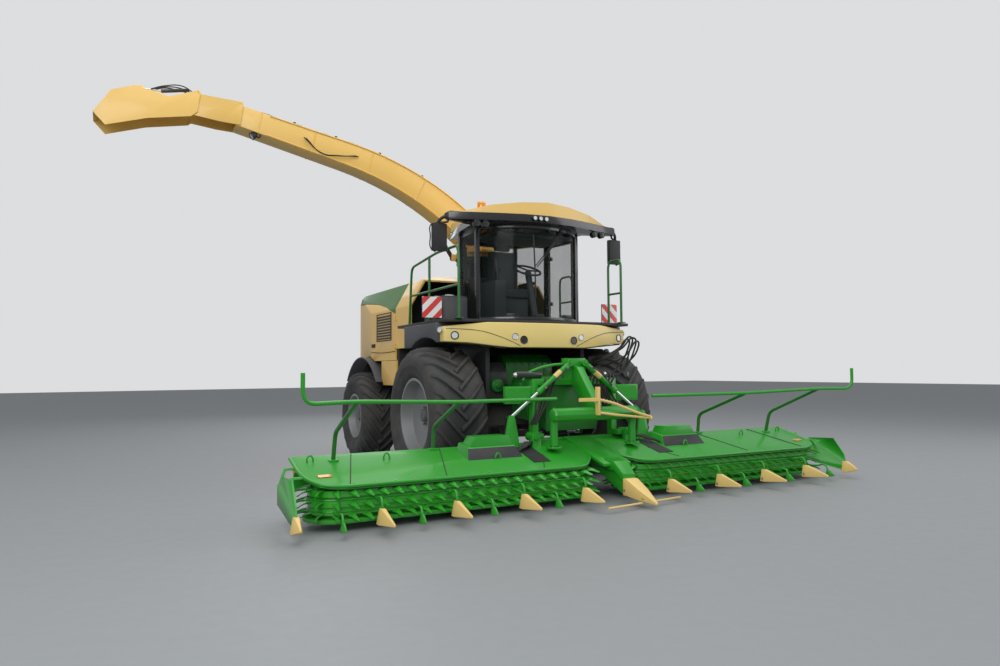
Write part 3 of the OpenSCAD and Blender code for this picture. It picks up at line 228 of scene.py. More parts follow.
DUST: Colour = (0.34, 0.29, 0.20)


@dataclass(frozen=True)
class Finish:
    """A finish that a piece is dressed in."""

    name: str

    def material(self) -> bpy.types.Material:
        """The finish's material, made once."""
        return bpy.data.materials.get(self.name + "_finish") or self.mixed()

    def mixed(self) -> bpy.types.Material:
        """Makes the material."""
        raise NotImplementedError


@dataclass(frozen=True)
class Paint(Finish):
    """Sprayed paint with field dust on its lower parts."""

    colour: Colour
    rough: float = 0.34
    coat: float = 0.35
    dust: float = 0.35
    dust_top: float = 1.5
    metallic: float = 0.0

    def mixed(self) -> bpy.types.Material:
        """Paint, its slight unevenness, and dust that thins out upwards."""
        shader = Shader(self.name)
        _, _, height = shader.axes()
        broad = shader.noise(1.7, 4.0)
        fine = shader.noise(23.0, 3.0)
        film = (broad - 0.42).eased(0.0, 0.3) * 0.5 + 0.35
        low = 1.0 - (height + fine * 0.25).eased(0.15, self.dust_top)
        dusty = low * film * self.dust + fine * (0.10 * self.dust)
        dark = tuple(c * 0.82 for c in self.colour)
        tone = shader.mix(broad * 0.25, self.colour, dark)
        peel = shader.noise(160.0, 2.0)
        return shader.done(
            Base_Color=shader.mix(dusty, tone, DUST),
            Roughness=dusty * 0.5 + fine * 0.12 + self.rough,
            Metallic=self.metallic,
            Coat_Weight=self.coat,
            Coat_Roughness=0.12,
            Normal=shader.bump(peel + fine * 0.6, 0.05, 0.002))


@dataclass(frozen=True)
class Steel(Finish):
    """Bare steel, polished by crop or left dull."""

    colour: Colour = (0.42, 0.43, 0.44)
    rough: float = 0.38
    stain: float = 0.4

    def mixed(self) -> bpy.types.Material:
        """Steel with fine scratches and brown stains."""
        shader = Shader(self.name)
        scratch = shader.noise(90.0, 4.0, shader.place(scale=(1.0, 1.0, 12.0)))
        patch = shader.noise(5.0, 5.0)
        rust = (patch - 0.5).eased(0.0, 0.16) * self.stain
        tone = shader.mix(scratch * 0.5, self.colour, tuple(c * 0.7 for c in self.colour))
        return shader.done(
            Base_Color=shader.mix(rust, tone, (0.17, 0.10, 0.06)),
            Metallic=1.0 - rust * 0.9,
            Roughness=scratch * 0.18 + rust * 0.3 + self.rough,
            Normal=shader.bump(scratch, 0.08, 0.001))


@dataclass(frozen=True)
class Chrome(Finish):
    """The plated rods of the cylinders."""

    def mixed(self) -> bpy.types.Material:
        """Plating with the faintest film of oil."""
        shader = Shader(self.name)
        film = shader.noise(12.0, 3.0)
        return shader.done(Base_Color=shader.mix(film * 0.2, (0.80, 0.81, 0.83), (0.55, 0.55, 0.54)),
                           Metallic=1.0, Roughness=film * 0.1 + 0.08)


@dataclass(frozen=True)
class Plastic(Finish):
    """Moulded plastic with a fine grain."""

    colour: Colour
    rough: float = 0.55
    grain: float = 240.0
    dust: float = 0.25

    def mixed(self) -> bpy.types.Material:
        """A grained surface that has greyed a little."""
        shader = Shader(self.name)
        cells = shader.cells(self.grain)
        broad = shader.noise(2.6, 4.0)
        worn = (broad - 0.4).eased(0.0, 0.35) * self.dust
        return shader.done(
            Base_Color=shader.mix(worn, self.colour,
                                  tuple(c * 0.55 + d * 0.45 for c, d in zip(self.colour, DUST))),
            Roughness=worn * 0.3 + self.rough,
            Normal=shader.bump(cells, 0.12, 0.001))


@dataclass(frozen=True)
class Rubber(Finish):
    """Tyre rubber with dried soil between the lugs."""

    colour: Colour = (0.035, 0.035, 0.037)
    soil: float = 0.45

    def mixed(self) -> bpy.types.Material:
        """Black rubber, browned in patches."""
        shader = Shader(self.name)
        patch = shader.noise(4.0, 6.0)
        fine = shader.noise(60.0, 3.0)
        soil = (patch + fine * 0.25 - 0.52).eased(0.0, 0.25) * self.soil
        return shader.done(
            Base_Color=shader.mix(soil, shader.mix(fine * 0.3, self.colour, (0.075, 0.073, 0.07)),
                                  (0.22, 0.19, 0.14)),
            Roughness=soil * 0.2 + 0.72,
            Normal=shader.bump(fine, 0.2, 0.002))


@dataclass(frozen=True)
class Glass(Finish):
    """Tinted cab glass or a clear lens."""

    tint: Colour = (0.008, 0.018, 0.014)
    cover: float = 0.17
    rough: float = 0.08

    def mixed(self) -> bpy.types.Material:
        """Glass that lets most light through, with a trace of dust."""
        shader = Shader(self.name)
        film = shader.noise(3.2, 4.0)
        return shader.done(Base_Color=self.tint, Roughness=film * 0.04 + self.rough,
                           Alpha=film * 0.06 + self.cover, Coat_Weight=0.0, Specular_IOR_Level=0.2)


@dataclass(frozen=True)
class Lens(Finish):
    """Ribbed lens of a lamp."""

    colour: Colour = (0.82, 0.84, 0.85)
    ribs: float = 90.0
    glow: float = 0.0

    def mixed(self) -> bpy.types.Material:
        """A glossy lens with vertical ribs."""
        shader = Shader(self.name)
        across, _, _ = shader.axes()
        ribs = ((across * self.ribs).fract() - 0.5).size()
        return shader.done(Base_Color=shader.mix(ribs * 0.6, self.colour, tuple(c * 0.6 for c in self.colour)),
                           Roughness=0.12, Coat_Weight=1.0, Metallic=0.15,
                           Emission_Color=self.colour, Emission_Strength=self.glow,
                           Normal=shader.bump(ribs, 0.35, 0.003))


@dataclass(frozen=True)
class Stripes(Finish):
    """Reflective film in slanted red and white stripes."""

    pitch: float = 0.20
    red: Colour = (0.72, 0.045, 0.04)
    white: Colour = (0.86, 0.86, 0.84)

    def mixed(self) -> bpy.types.Material:
        """Stripes that fall away from the machine on both sides."""
        shader = Shader(self.name)
        across, _, height = shader.axes()
        band = ((across.size() + height) / self.pitch).fract().above(0.5)
        cells = shader.cells(420.0)
        return shader.done(Base_Color=shader.mix(band, self.red, self.white), Roughness=0.28,
                           Coat_Weight=0.6, Normal=shader.bump(cells, 0.15, 0.0006))


@dataclass(frozen=True)
class Cloth(Finish):
    """Woven seat cover."""

    colour: Colour = (0.055, 0.06, 0.07)
    thread: float = 0.0022

    def mixed(self) -> bpy.types.Material:
        """A weave of two threads."""
        shader = Shader(self.name)
        x, y, z = shader.axes()
        warp = ((x / self.thread).fract() - 0.5).size()
        weft = (((y + z) / self.thread).fract() - 0.5).size()
        broad = shader.noise(6.0, 3.0)
        return shader.done(Base_Color=shader.mix(warp * weft * 2.0, self.colour,
                                                 tuple(c * 2.4 for c in self.colour)),
                           Roughness=broad * 0.1 + 0.85, Normal=shader.bump(warp + weft, 0.4, 0.0008))


@dataclass(frozen=True)
class Mirror(Finish):
    """Silvered mirror glass."""

    def mixed(self) -> bpy.types.Material:
        """A mirror with a trace of dust."""
        shader = Shader(self.name)
        film = shader.noise(30.0, 3.0)
        return shader.done(Base_Color=(0.78, 0.82, 0.84), Metallic=1.0, Roughness=film * 0.06 + 0.02)


@dataclass(frozen=True)
class Perforated(Finish):
    """Dark sheet with a pattern of round holes, which hold painted shade."""

    colour: Colour = (0.05, 0.052, 0.055)
    pitch: float = 0.02

    def mixed(self) -> bpy.types.Material:
        """A sheet whose holes are sunk and painted near-black, as painted shade for the dark seen through them.
        """
        shader = Shader(self.name)
        x, y, z = shader.axes()
        a = ((x + y) / self.pitch).fract() - 0.5
        b = (z / self.pitch).fract() - 0.5
        hole = 1.0 - (a * a + b * b).power(0.5).eased(0.26, 0.34)
        # The near-black colour in the holes is painted shade, not the sheet's own colour.
        return shader.done(Base_Color=shader.mix(hole, self.colour, (0.004, 0.004, 0.004)),
                           Roughness=0.5, Normal=shader.bump(1.0 - hole, 0.6, 0.002))


class Part(Enum):
    """What an edit-mode step works on."""

    POINTS = (True, False, False)
    EDGES = (False, True, False)
    FACES = (False, False, True)


def middle(low: Point, high: Point) -> Vector:
    """The point half way between two corners."""
    return (Vector(low) + Vector(high)) / 2


def object_mode() -> None:
    """Leaves edit mode and deselects every object."""
    if bpy.context.object and bpy.context.object.mode != "OBJECT":
        bpy.ops.object.mode_set(mode="OBJECT")
    bpy.ops.object.select_all(action="DESELECT")


class Work:
    """A mesh that is started from a primitive and shaped in edit mode."""

    def __init__(self, name: str, obj: bpy.types.Object | None = None) -> None:
        """Takes the active object, puts its place into its mesh and names it."""
        self.obj = obj or bpy.context.object
        self.obj.name = name
        self.obj.data.name = name
        bpy.context.view_layer.objects.active = self.obj
        self.obj.select_set(True)
        bpy.ops.object.transform_apply(location=True, rotation=True, scale=True)

    @classmethod
    def box(cls, name: str, low: Point, high: Point) -> "Work":
        """A cube primitive stretched between two corners."""
        object_mode()
        size = Vector(high) - Vector(low)
        bpy.ops.mesh.primitive_cube_add(size=1.0, location=middle(low, high), scale=size)
        return cls(name)

    @classmethod
    def rod(cls, name: str, start: Point, end: Point, radius: float, sides: int = 20,
            tip: float | None = None) -> "Work":
        """A cone primitive between two points.

        Args:
            name: the piece's name.
            start: the middle of its first end.
            end: the middle of its other end.
            radius: its radius at the start.
            sides: its number of sides.
            tip: its radius at the end, the same as at the start when left out.

        Returns:
            The piece.
        """
        object_mode()
        axis = Vector(end) - Vector(start)
        bpy.ops.mesh.primitive_cone_add(
            vertices=sides, radius1=radius, radius2=radius if tip is None else tip, depth=axis.length,
            location=middle(start, end), rotation=axis.to_track_quat("Z", "Y").to_euler())
        return cls(name)

    @classmethod
    def ring(cls, name: str, centre: Point, radius: float, turn: Point = (0, 0, 0), sides: int = 48,
             filled: bool = False) -> "Work":
        """A circle primitive, open or filled."""
        object_mode()
        bpy.ops.mesh.primitive_circle_add(vertices=sides, radius=radius, location=centre, rotation=turn,
                                          fill_type="NGON" if filled else "NOTHING")
        return cls(name)

    @classmethod
    def sheet(cls, name: str, centre: Point, size: tuple[float, float], turn: Point = (0, 0, 0),
              cells: tuple[int, int] = (1, 1)) -> "Work":
        """A grid primitive."""
        object_mode()
        bpy.ops.mesh.primitive_grid_add(x_subdivisions=cells[0], y_subdivisions=cells[1], size=1.0,
                                        location=centre, rotation=turn)
        bpy.context.object.scale = (size[0], size[1], 1.0)
        return cls(name)

    @classmethod
    def pipe(cls, name: str, points: Sequence[Point], radius: float, bend: float = 0.0,
             sides: int = 3, closed: bool = False) -> "Work":
        """A round tube along a line whose corners are rounded.

        Args:
            name: the piece's name.
            points: the corners of its middle line.
            radius: its radius.
            bend: the radius given to each corner; 0 for one smooth curve through the points.
            sides: how finely it is rounded.
            closed: whether it runs back to its start.

        Returns:
            The piece, as a mesh.
        """
        object_mode()
        curve = bpy.data.curves.new(name, "CURVE")
        curve.dimensions = "3D"
        curve.bevel_depth = radius
        curve.bevel_resolution = sides
        curve.use_fill_caps = True
        line = rounded([Vector(p) for p in points], bend) if bend else [Vector(p) for p in points]
        spline = curve.splines.new("POLY" if bend else "BEZIER")
        store = spline.points if bend else spline.bezier_points
        store.add(len(line) - 1)
        for knot, place in zip(store, line):
            knot.co = (*place, 1.0) if bend else place
            if not bend:
                knot.handle_left_type = knot.handle_right_type = "AUTO"
        spline.use_cyclic_u = closed
        if not bend:
            spline.resolution_u = 8
        obj = bpy.data.objects.new(name, curve)
        bpy.context.scene.collection.objects.link(obj)
        bpy.context.view_layer.objects.active = obj
        obj.select_set(True)
        bpy.ops.object.convert(target="MESH")
        return cls(name, bpy.context.object)

    @classmethod
    def copy_of(cls, name: str, node: str, width: float = 0.0, segments: int = 2) -> "Work":
        """A copy of a CAD node's mesh with its edges rounded.

        Args:
            name: the piece's name.
            node: the node that is copied.
            width: how far its edges are rounded.
            segments: how many faces go round each edge.

        Returns:
            The piece.
        """
        object_mode()
        source = frame["nodes"][node]
        obj = bpy.data.objects.new(name, source.data.copy())
        obj.data.materials.clear()
        bpy.context.scene.collection.objects.link(obj)
        work = cls(name, obj)
        work.tidy(merge=0.00005)
        work.every(Part.FACES)
        bpy.ops.mesh.dissolve_limited(angle_limit=math.radians(0.6))
        if width:
            work.rounded_edges(width, segments)
        return work

    def twin(self, name: str, matrix: Matrix) -> "Work":
        """A copy with its own mesh, put elsewhere."""
        object_mode()
        obj = self.obj.copy()
        obj.data = self.obj.data.copy()
        obj.data.transform(matrix)
        if matrix.determinant() < 0:
            obj.data.flip_normals()
        bpy.context.scene.collection.objects.link(obj)
        return Work(name, obj)

    def choose(self, part: Part, test: Callable[..., bool]) -> "Work":
        """Selects points, edges or faces by place and stays in edit mode.

        Args:
            part: what is selected.
            test: takes a face's centre and normal, an edge's two ends, or a point.

        Returns:
            The piece.
        """
        object_mode()
        mesh = self.obj.data
        for group in (mesh.vertices, mesh.edges, mesh.polygons):
            group.foreach_set("select", [False] * len(group))
        if part is Part.FACES:
            for face in mesh.polygons:
                face.select = bool(test(face.center, face.normal))
        elif part is Part.EDGES:
            for edge in mesh.edges:
                edge.select = bool(test(*(mesh.vertices[i].co for i in edge.vertices)))
        else:
            for point in mesh.vertices:
                point.select = bool(test(point.co))
        return self.enter(part)

    def enter(self, part: Part) -> "Work":
        """Goes to edit mode."""
        bpy.context.view_layer.objects.active = self.obj
        self.obj.select_set(True)
        bpy.context.tool_settings.mesh_select_mode = part.value
        bpy.ops.object.mode_set(mode="EDIT")
        return self

    def every(self, part: Part) -> "Work":
        """Selects everything in edit mode."""
        object_mode()
        self.enter(part)
        bpy.ops.mesh.select_all(action="SELECT")
        return self

    def extrude(self, by: Point = (0, 0, 0), size: Point | None = None, about: Point | None = None,
                turn: float = 0.0, axis: str = "X", pivot: Point = (0, 0, 0)) -> "Work":
        """Extrudes what is selected, then stretches and turns the new end.

        Args:
            by: how far the new end moves.
            size: its stretch along X, Y and Z.
            about: the point that stays put while it is stretched.
            turn: its turn in radians, by the right-hand rule.
            axis: the axis that it turns about.
            pivot: a point on that axis.

        Returns:
            The piece.
        """
        bpy.ops.mesh.extrude_region_move(TRANSFORM_OT_translate={"value": tuple(by)})
        if size is not None:
            bpy.ops.transform.resize(value=size, center_override=about)
        if turn:
            bpy.ops.transform.rotate(value=-turn, orient_axis=axis, center_override=pivot)
        return self

    def inset(self, thickness: float, depth: float = 0.0) -> "Work":
        """Insets the selected faces."""
        bpy.ops.mesh.inset(thickness=thickness, depth=depth)
        return self

    def shift(self, by: Point) -> "Work":
        """Moves what is selected."""
        bpy.ops.transform.translate(value=tuple(by))
        return self

    def stretch(self, size: Point, about: Point) -> "Work":
        """Stretches what is selected about a point."""
        bpy.ops.transform.resize(value=size, center_override=tuple(about))
        return self

    def turned(self, angle: float, axis: str, pivot: Point) -> "Work":
        """Turns what is selected, by the right-hand rule."""
        bpy.ops.transform.rotate(value=-angle, orient_axis=axis, center_override=tuple(pivot))
        return self

    def cut(self, point: Point, normal: Point, drop: bool = False) -> "Work":
        """Cuts the whole mesh with a plane, and may drop what lies on its far side."""
        self.every(Part.FACES)
        bpy.ops.mesh.bisect(plane_co=point, plane_no=normal, use_fill=drop, clear_outer=drop)
        return self

    def modifier(self, kind: str, **settings: object) -> "Work":
        """Adds a modifier and applies it."""
        object_mode()
        bpy.context.view_layer.objects.active = self.obj
        self.obj.select_set(True)
        step = self.obj.modifiers.new(kind.lower(), kind)
        for key, value in settings.items():
            setattr(step, key, value)
        bpy.ops.object.modifier_apply(modifier=step.name)
        return self

    def rounded_edges(self, width: float, segments: int = 2, angle: float = 28.0) -> "Work":
        """Rounds every edge sharper than an angle."""
        return self.modifier("BEVEL", width=width, segments=segments, limit_method="ANGLE",
                             angle_limit=math.radians(angle), use_clamp_overlap=True)

    def smooth(self, levels: int = 2) -> "Work":
        """Applies a subdivision surface."""
        return self.modifier("SUBSURF", levels=levels, render_levels=levels)

    def tidy(self, merge: float = 0.0001) -> "Work":
        """Merges doubles and points the faces outwards."""
        self.every(Part.FACES)
        bpy.ops.mesh.remove_doubles(threshold=merge)
        bpy.ops.mesh.normals_make_consistent(inside=False)
        return self

    def split_off(self, name: str, test: Callable[[Vector, Vector], bool]) -> "Work":
        """Cuts the faces that pass a test out into a piece of their own."""
        before = set(bpy.data.objects)
        self.choose(Part.FACES, test)
        bpy.ops.mesh.separate(type="SELECTED")
        object_mode()
        return Work(name, (set(bpy.data.objects) - before).pop())

    def join(self, others: Iterable["Work"]) -> "Work":
        """Takes other pieces into this one."""
        object_mode()
        for other in others:
            other.obj.select_set(True)
        self.obj.select_set(True)
        bpy.context.view_layer.objects.active = self.obj
        bpy.ops.object.join()
        return self

    def mirrored(self, name: str) -> "Work":
        """Its mirror image on the other side of the machine."""
        return self.twin(name, Matrix.Scale(-1.0, 4, (1, 0, 0)))

    def paint(self, finish: Finish, test: Callable[[Vector, Vector], bool] | None = None) -> "Work":
        """Gives a finish to all faces, or to those that pass a test."""
        object_mode()
        mesh = self.obj.data
        mesh.materials.append(finish.material())
        slot = len(mesh.materials) - 1
        for face in mesh.polygons:
            if test is None or test(face.center, face.normal):
                face.material_index = slot
        return self

    def shade(self, angle: float = 32.0) -> "Work":
        """Smooths the shading over edges flatter than an angle."""
        object_mode()
        bpy.context.view_layer.objects.active = self.obj
        self.obj.select_set(True)
        bpy.ops.object.shade_smooth_by_angle(angle=math.radians(angle))
        return self

    def done(self, body: str, slot: str, finish: Finish | None = None, angle: float = 32.0,
             nodes: Sequence[str] = ()) -> bpy.types.Object:
        """Finishes the piece and declares what it rides on.

        Args:
            body: the body that it moves with.
            slot: the record's material slot; not used.
            finish: its finish, unless its faces have theirs.
            angle: the edge angle up to which its shading is smooth.
            nodes: the CAD nodes that it stands for.

        Returns:
            The Blender object.
        """
        if finish:
            self.paint(finish)
        self.shade(angle)
        object_mode()
        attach(self.obj, body)
        if nodes:
            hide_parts(*nodes)
        LOG.info("%s: %d faces on %s", self.obj.name, len(self.obj.data.polygons), body)
        return self.obj


def rounded(line: list[Vector], bend: float, steps: int = 6) -> list[Vector]:
    """A line of points with its corners rounded.

    Args:
        line: the corners.
        bend: the radius of each corner, less where there is no room for it.
        steps: how many points go round a corner.

    Returns:
        The points of the rounded line.
    """
    out = [line[0]]
    for before, here, after in zip(line, line[1:], line[2:]):
        back, on = (before - here), (after - here)
        reach = min(bend, back.length * 0.48, on.length * 0.48)
        start, end = here + back.normalized() * reach, here + on.normalized() * reach
        for i in range(steps + 1):
            t = i / steps
            out.append(start * (1 - t) ** 2 + here * 2 * t * (1 - t) + end * t ** 2)
    return out + [line[-1]]


def join_all(works: Sequence[Work], name: str) -> Work:
    """Joins pieces into the first of them under one name."""
    first = works[0]
    if len(works) > 1:
        first.join(works[1:])
    first.obj.name = name
    first.obj.data.name = name
    return first


def redress(node: str, finish: Finish) -> None:
    """Gives a CAD node that stays in view a finish."""
    mesh = frame["nodes"][node].data
    mesh.materials.clear()
    mesh.materials.append(finish.material())


def reworked(node: str, finish: Finish, slot: str, width: float = 0.006, angle: float = 32.0,
             name: str | None = None) -> Work:
    """A CAD node's own shape with rounded edges, which stands for the node.

    Args:
        node: the node.
        finish: the finish of the whole piece.
        slot: the record's material slot; not used.
        width: how far its edges are rounded.
        angle: the edge angle up to which its shading is smooth.
        name: the piece's name.

    Returns:
        The piece.
    """
    work = Work.copy_of(name or node + "_panel", node, width)
    work.done(BODY_OF[node], slot, finish, angle, [node])
    return work


BODY_OF = {node: body for body, nodes in frame["record"]["behaviour"]["bodies"].items() for node in nodes}


def inside(low: Point, high: Point) -> Callable[[Vector, Vector], bool]:
    """A test for faces whose middle lies in a box."""
    return lambda centre, normal: all(a <= c <= b for a, c, b in zip(low, centre, high))


YELLOW = Paint("body_yellow", (0.88, 0.56, 0.14), rough=0.34, coat=0.3, dust=0.08)
CREAM = Paint("roof_cream", (0.84, 0.56, 0.17), rough=0.36, coat=0.25, dust=0.08)
BEAM_CREAM = Paint("beam_cream", (0.90, 0.69, 0.24), rough=0.34, coat=0.3, dust=0.06)
HOOD_GREEN = Paint("hood_green", (0.075, 0.20, 0.055), rough=0.36, coat=0.25, dust=0.08)
GREEN = Paint("header_green", (0.018, 0.32, 0.016), rough=0.32, coat=0.3, dust=0.05, dust_top=0.5)
DARK_GREEN = Paint("feeder_green", (0.010, 0.16, 0.015), rough=0.36, coat=0.3, dust=0.10)
RAIL_GREEN = Paint("rail_green", (0.008, 0.15, 0.016), rough=0.30, coat=0.35, dust=0.05)
FRAME_BLACK = Paint("frame_black", (0.022, 0.023, 0.025), rough=0.5, coat=0.1, dust=0.4)
AXLE_GREY = Paint("axle_grey", (0.045, 0.047, 0.05), rough=0.5, coat=0.1, dust=0.5)
CAST_GREY = Paint("cast_grey", (0.10, 0.105, 0.11), rough=0.55, coat=0.05, dust=0.3)
RIM_SILVER = Paint("rim_silver", (0.30, 0.31, 0.31), rough=0.42, coat=0.15, dust=0.05, metallic=0.5)
GLOSS_BLACK = Paint("gloss_black", (0.012, 0.012, 0.013), rough=0.22, coat=0.7, dust=0.05)
RAM_BLACK = Paint("ram_black", (0.018, 0.018, 0.02), rough=0.34, coat=0.4, dust=0.2)
STRAW_YELLOW = Paint("divider_yellow", (0.86, 0.60, 0.20), rough=0.42, coat=0.15, dust=0.22, dust_top=0.5)
SLATE = Plastic("slate_plastic", (0.075, 0.079, 0.088), rough=0.5)
BLACK_PLASTIC = Plastic("black_plastic", (0.02, 0.02, 0.022), rough=0.5, dust=0.1)
GREY_PLASTIC = Plastic("grey_plastic", (0.06, 0.063, 0.068), rough=0.55, dust=0.1)
WHITE_CAP = Plastic("white_cap", (0.62, 0.68, 0.62), rough=0.45, dust=0.15)
TYRE_RUBBER = Rubber("tyre_rubber", soil=0.14)
HOSE_RUBBER = Rubber("hose_rubber", (0.014, 0.014, 0.016), soil=0.12)
CHROME = Chrome("ram_chrome")
STEEL = Steel("zinc_steel", (0.50, 0.50, 0.49), 0.34, 0.12)
TINE_GREEN = Paint("tine_green", (0.03, 0.40, 0.02), rough=0.24, coat=0.5, dust=0.10, dust_top=0.4)
CAB_GLASS = Glass("cab_glass")
CLEAR_LENS = Lens("lamp_lens")
# Its faint glow is painted light where it covers the deck's reflector plate.
AMBER = Lens("beacon_amber", (0.80, 0.26, 0.015), 60.0, 0.10)
RED_LENS = Lens("tail_red", (0.50, 0.012, 0.01), 80.0)
MIRROR = Mirror("mirror_glass")
SEAT_CLOTH = Cloth("seat_cloth")
BOARD_STRIPES = Stripes("board_stripes")
# Both perforated finishes paint shade into their holes.
SCREEN_MESH = Perforated("screen_mesh", pitch=0.016)
TREAD = Perforated("tread_plate", (0.06, 0.062, 0.066), 0.03)


@dataclass
class Studio:
    """The floor, the light and the camera."""

    eye: Point = (-5.24657, -9.08311, 1.53325)
    yaw: float = 0.495713
    pitch: float = 0.050936
    roll: float = -0.0077895
    focal: float = 723.664
    floor_half: float = 60.0

    def build(self) -> None:
        """Sets up everything that isn't part of the machine."""
        self.camera()
        self.floor()
        self.world()
        self.lamps()
        bpy.context.scene.view_settings.view_transform = "Standard"

    def camera(self) -> None:
        """Puts the camera where the photograph was taken from."""
        ahead = Vector((math.sin(self.yaw) * math.cos(self.pitch), math.cos(self.yaw) * math.cos(self.pitch),
                        math.sin(self.pitch)))
        right = Vector((math.cos(self.yaw), -math.sin(self.yaw), 0.0))
        over = right.cross(ahead)
        c, s = math.cos(self.roll), math.sin(self.roll)
        turn = Matrix((right * c + over * s, over * c - right * s, -ahead)).transposed().to_4x4()
        data = bpy.data.cameras.new("camera")
        data.sensor_width = 36.0
        data.sensor_fit = "HORIZONTAL"
        data.lens = self.focal * data.sensor_width / 1000.0
        data.clip_end = 500.0
        eye = bpy.data.objects.new("camera", data)
        eye.matrix_world = Matrix.Translation(self.eye) @ turn
        bpy.context.scene.collection.objects.link(eye)
        bpy.context.scene.camera = eye

    def floor(self) -> None:
        """Lays the pale floor."""
        work = Work.sheet("floor", (0, 0, 0), (2 * self.floor_half, 2 * self.floor_half))
        shader = Shader("floor_pale")
        speck = shader.noise(7.0, 4.0)
        shader.done(Base_Color=shader.mix(speck * 0.3, (0.30, 0.31, 0.32), (0.27, 0.28, 0.29)),
                    Roughness=speck * 0.15 + 0.45, Specular_IOR_Level=0.3)
        work.obj.data.materials.append(shader.material)

    def world(self) -> None:
        """Lights from all round, with a pale background for the camera."""
        world = bpy.data.worlds.new("world")
        bpy.context.scene.world = world
        world.use_nodes = True
        tree = world.node_tree
        tree.nodes.clear()
        path = tree.nodes.new("ShaderNodeLightPath")
        back = tree.nodes.new("ShaderNodeBackground")
        back.inputs["Color"].default_value = (0.80, 0.81, 0.82, 1.0)
        back.inputs["Strength"].default_value = 0.90
        light = tree.nodes.new("ShaderNodeBackground")
        light.inputs["Color"].default_value = (0.93, 0.96, 1.0, 1.0)
        light.inputs["Strength"].default_value = 0.42
        pick = tree.nodes.new("ShaderNodeMixShader")
        tree.links.new(path.outputs["Is Camera Ray"], pick.inputs[0])
        tree.links.new(light.outputs[0], pick.inputs[1])
        tree.links.new(back.outputs[0], pick.inputs[2])
        output = tree.nodes.new("ShaderNodeOutputWorld")
        tree.links.new(pick.outputs[0], output.inputs["Surface"])

    def lamps(self) -> None:
        """Hangs the soft lights."""
        for name, place, aim, size, power in (
                ("top_light", (0, 0, 11), (0, 0, 0), 14.0, 850.0),
                ("key_light", (-9, -10, 8), (0, 0, 1.5), 8.0, 760.0),
                ("fill_light", (11, -7, 6), (0, 0, 1.5), 8.0, 320.0),
                ("back_light", (3, 13, 8), (0, 2, 1.5), 8.0, 300.0)):
            data = bpy.data.lights.new(name, "AREA")
            data.energy = power
            data.size = size
            lamp = bpy.data.objects.new(name, data)
            lamp.location = place
            lamp.rotation_euler = (Vector(aim) - Vector(place)).to_track_quat("-Z", "Y").to_euler()
            bpy.context.scene.collection.objects.link(lamp)


@dataclass
class Tyre:
    """A drive tyre with chevron lugs."""

    name: str
    side: Side
    across: float
    along: float
    radius: float
    rim: float
    width: float
    lugs: int
    lug_height: float = 0.048
    lug_half: float = 0.036
    sides: int = 96

    @property
    def centre(self) -> Vector:
        """The middle of the tyre."""
        return Vector((self.side.value * self.across, self.along, self.radius))

    def profile(self) -> list[tuple[float, float]]:
        """Half the section, as radius and distance from the tyre's middle plane, tread first."""
        floor, drop = self.radius - self.lug_height, self.radius - self.rim
        return [(floor, 0.0), (floor - 0.003, 0.22 * self.width), (floor - 0.012, 0.36 * self.width),
                (floor - 0.035, 0.43 * self.width), (self.radius - 0.30 * drop, 0.472 * self.width),
                (self.radius - 0.44 * drop, 0.490 * self.width),
                (self.radius - 0.60 * drop, 0.492 * self.width),
                (self.radius - 0.62 * drop, 0.484 * self.width),
                (self.radius - 0.80 * drop, 0.465 * self.width),
                (self.rim + 0.030, 0.440 * self.width), (self.rim + 0.008, 0.405 * self.width),
                (self.rim - 0.023, 0.40 * self.width)]

    def carcass(self) -> Work:
        """Extrudes a ring round the tyre's section."""
        half = self.profile()
        path = [(r, -s) for r, s in reversed(half)] + half[1:] + [(half[-1][0], -half[-1][1])]
        radius, offset = path[0]
        work = Work.ring(self.name, self.centre + Vector((offset, 0, 0)), radius, (0, math.pi / 2, 0),
                         self.sides)
        work.every(Part.EDGES)
        for r, s in path[1:]:
            work.extrude(by=(s - offset, 0, 0), size=(1, r / radius, r / radius), about=self.centre)
            radius, offset = r, s
        return work.tidy()

    def lug(self) -> Work:
        """One lug, from the middle of the tread over the shoulder."""
        start = self.centre + Vector((-0.045 * self.width, 0, 0))
        low, high = self.radius - self.lug_height - 0.014, self.radius - 0.001
        work = Work.box("lug", start + Vector((0, -self.lug_half, low)),
                        start + Vector((0.01, self.lug_half, high)))
        work.choose(Part.POINTS, lambda p: p.z > self.centre.z + high - 0.002)
        work.stretch((1, 0.72, 1), start + Vector((0, 0, high)))
        work.choose(Part.FACES, lambda c, n: n.x > 0.9)
        turn = math.radians(5.6) * 0.925 / self.radius
        for step, size, share in ((0.105, 1.0, 0.9), (0.115, 0.999, 1.0), (0.105, 0.994, 1.0),
                                  (0.085, 0.978, 0.8), (0.065, 0.952, 0.5), (0.035, 0.915, 0.2)):
            work.extrude(by=(step * self.width, 0, 0), size=(1, size, size), about=self.centre,
                         turn=-turn * share, axis="X", pivot=self.centre)
        return work.rounded_edges(0.007, 1)

    def build(self) -> None:
        """Sets the lugs round the carcass and dresses the tyre."""
        lug = self.lug()
        place = Matrix.Translation(self.centre)
        lugs = []
        for i in range(2 * self.lugs):
            mirror = Matrix.Scale(-1.0, 4, (1, 0, 0)) if i % 2 else Matrix.Identity(4)
            turn = Matrix.Rotation(math.pi * i / self.lugs, 4, "X")
            lugs.append(lug.twin("lug", place @ turn @ mirror @ place.inverted()))
        object_mode()
        bpy.data.objects.remove(lug.obj)
        tyre = join_all([self.carcass()] + lugs, self.name + "_tread")
        tyre.done("wheel_" + self.name[5:], "tyre_rubber", TYRE_RUBBER, 35, [self.name])


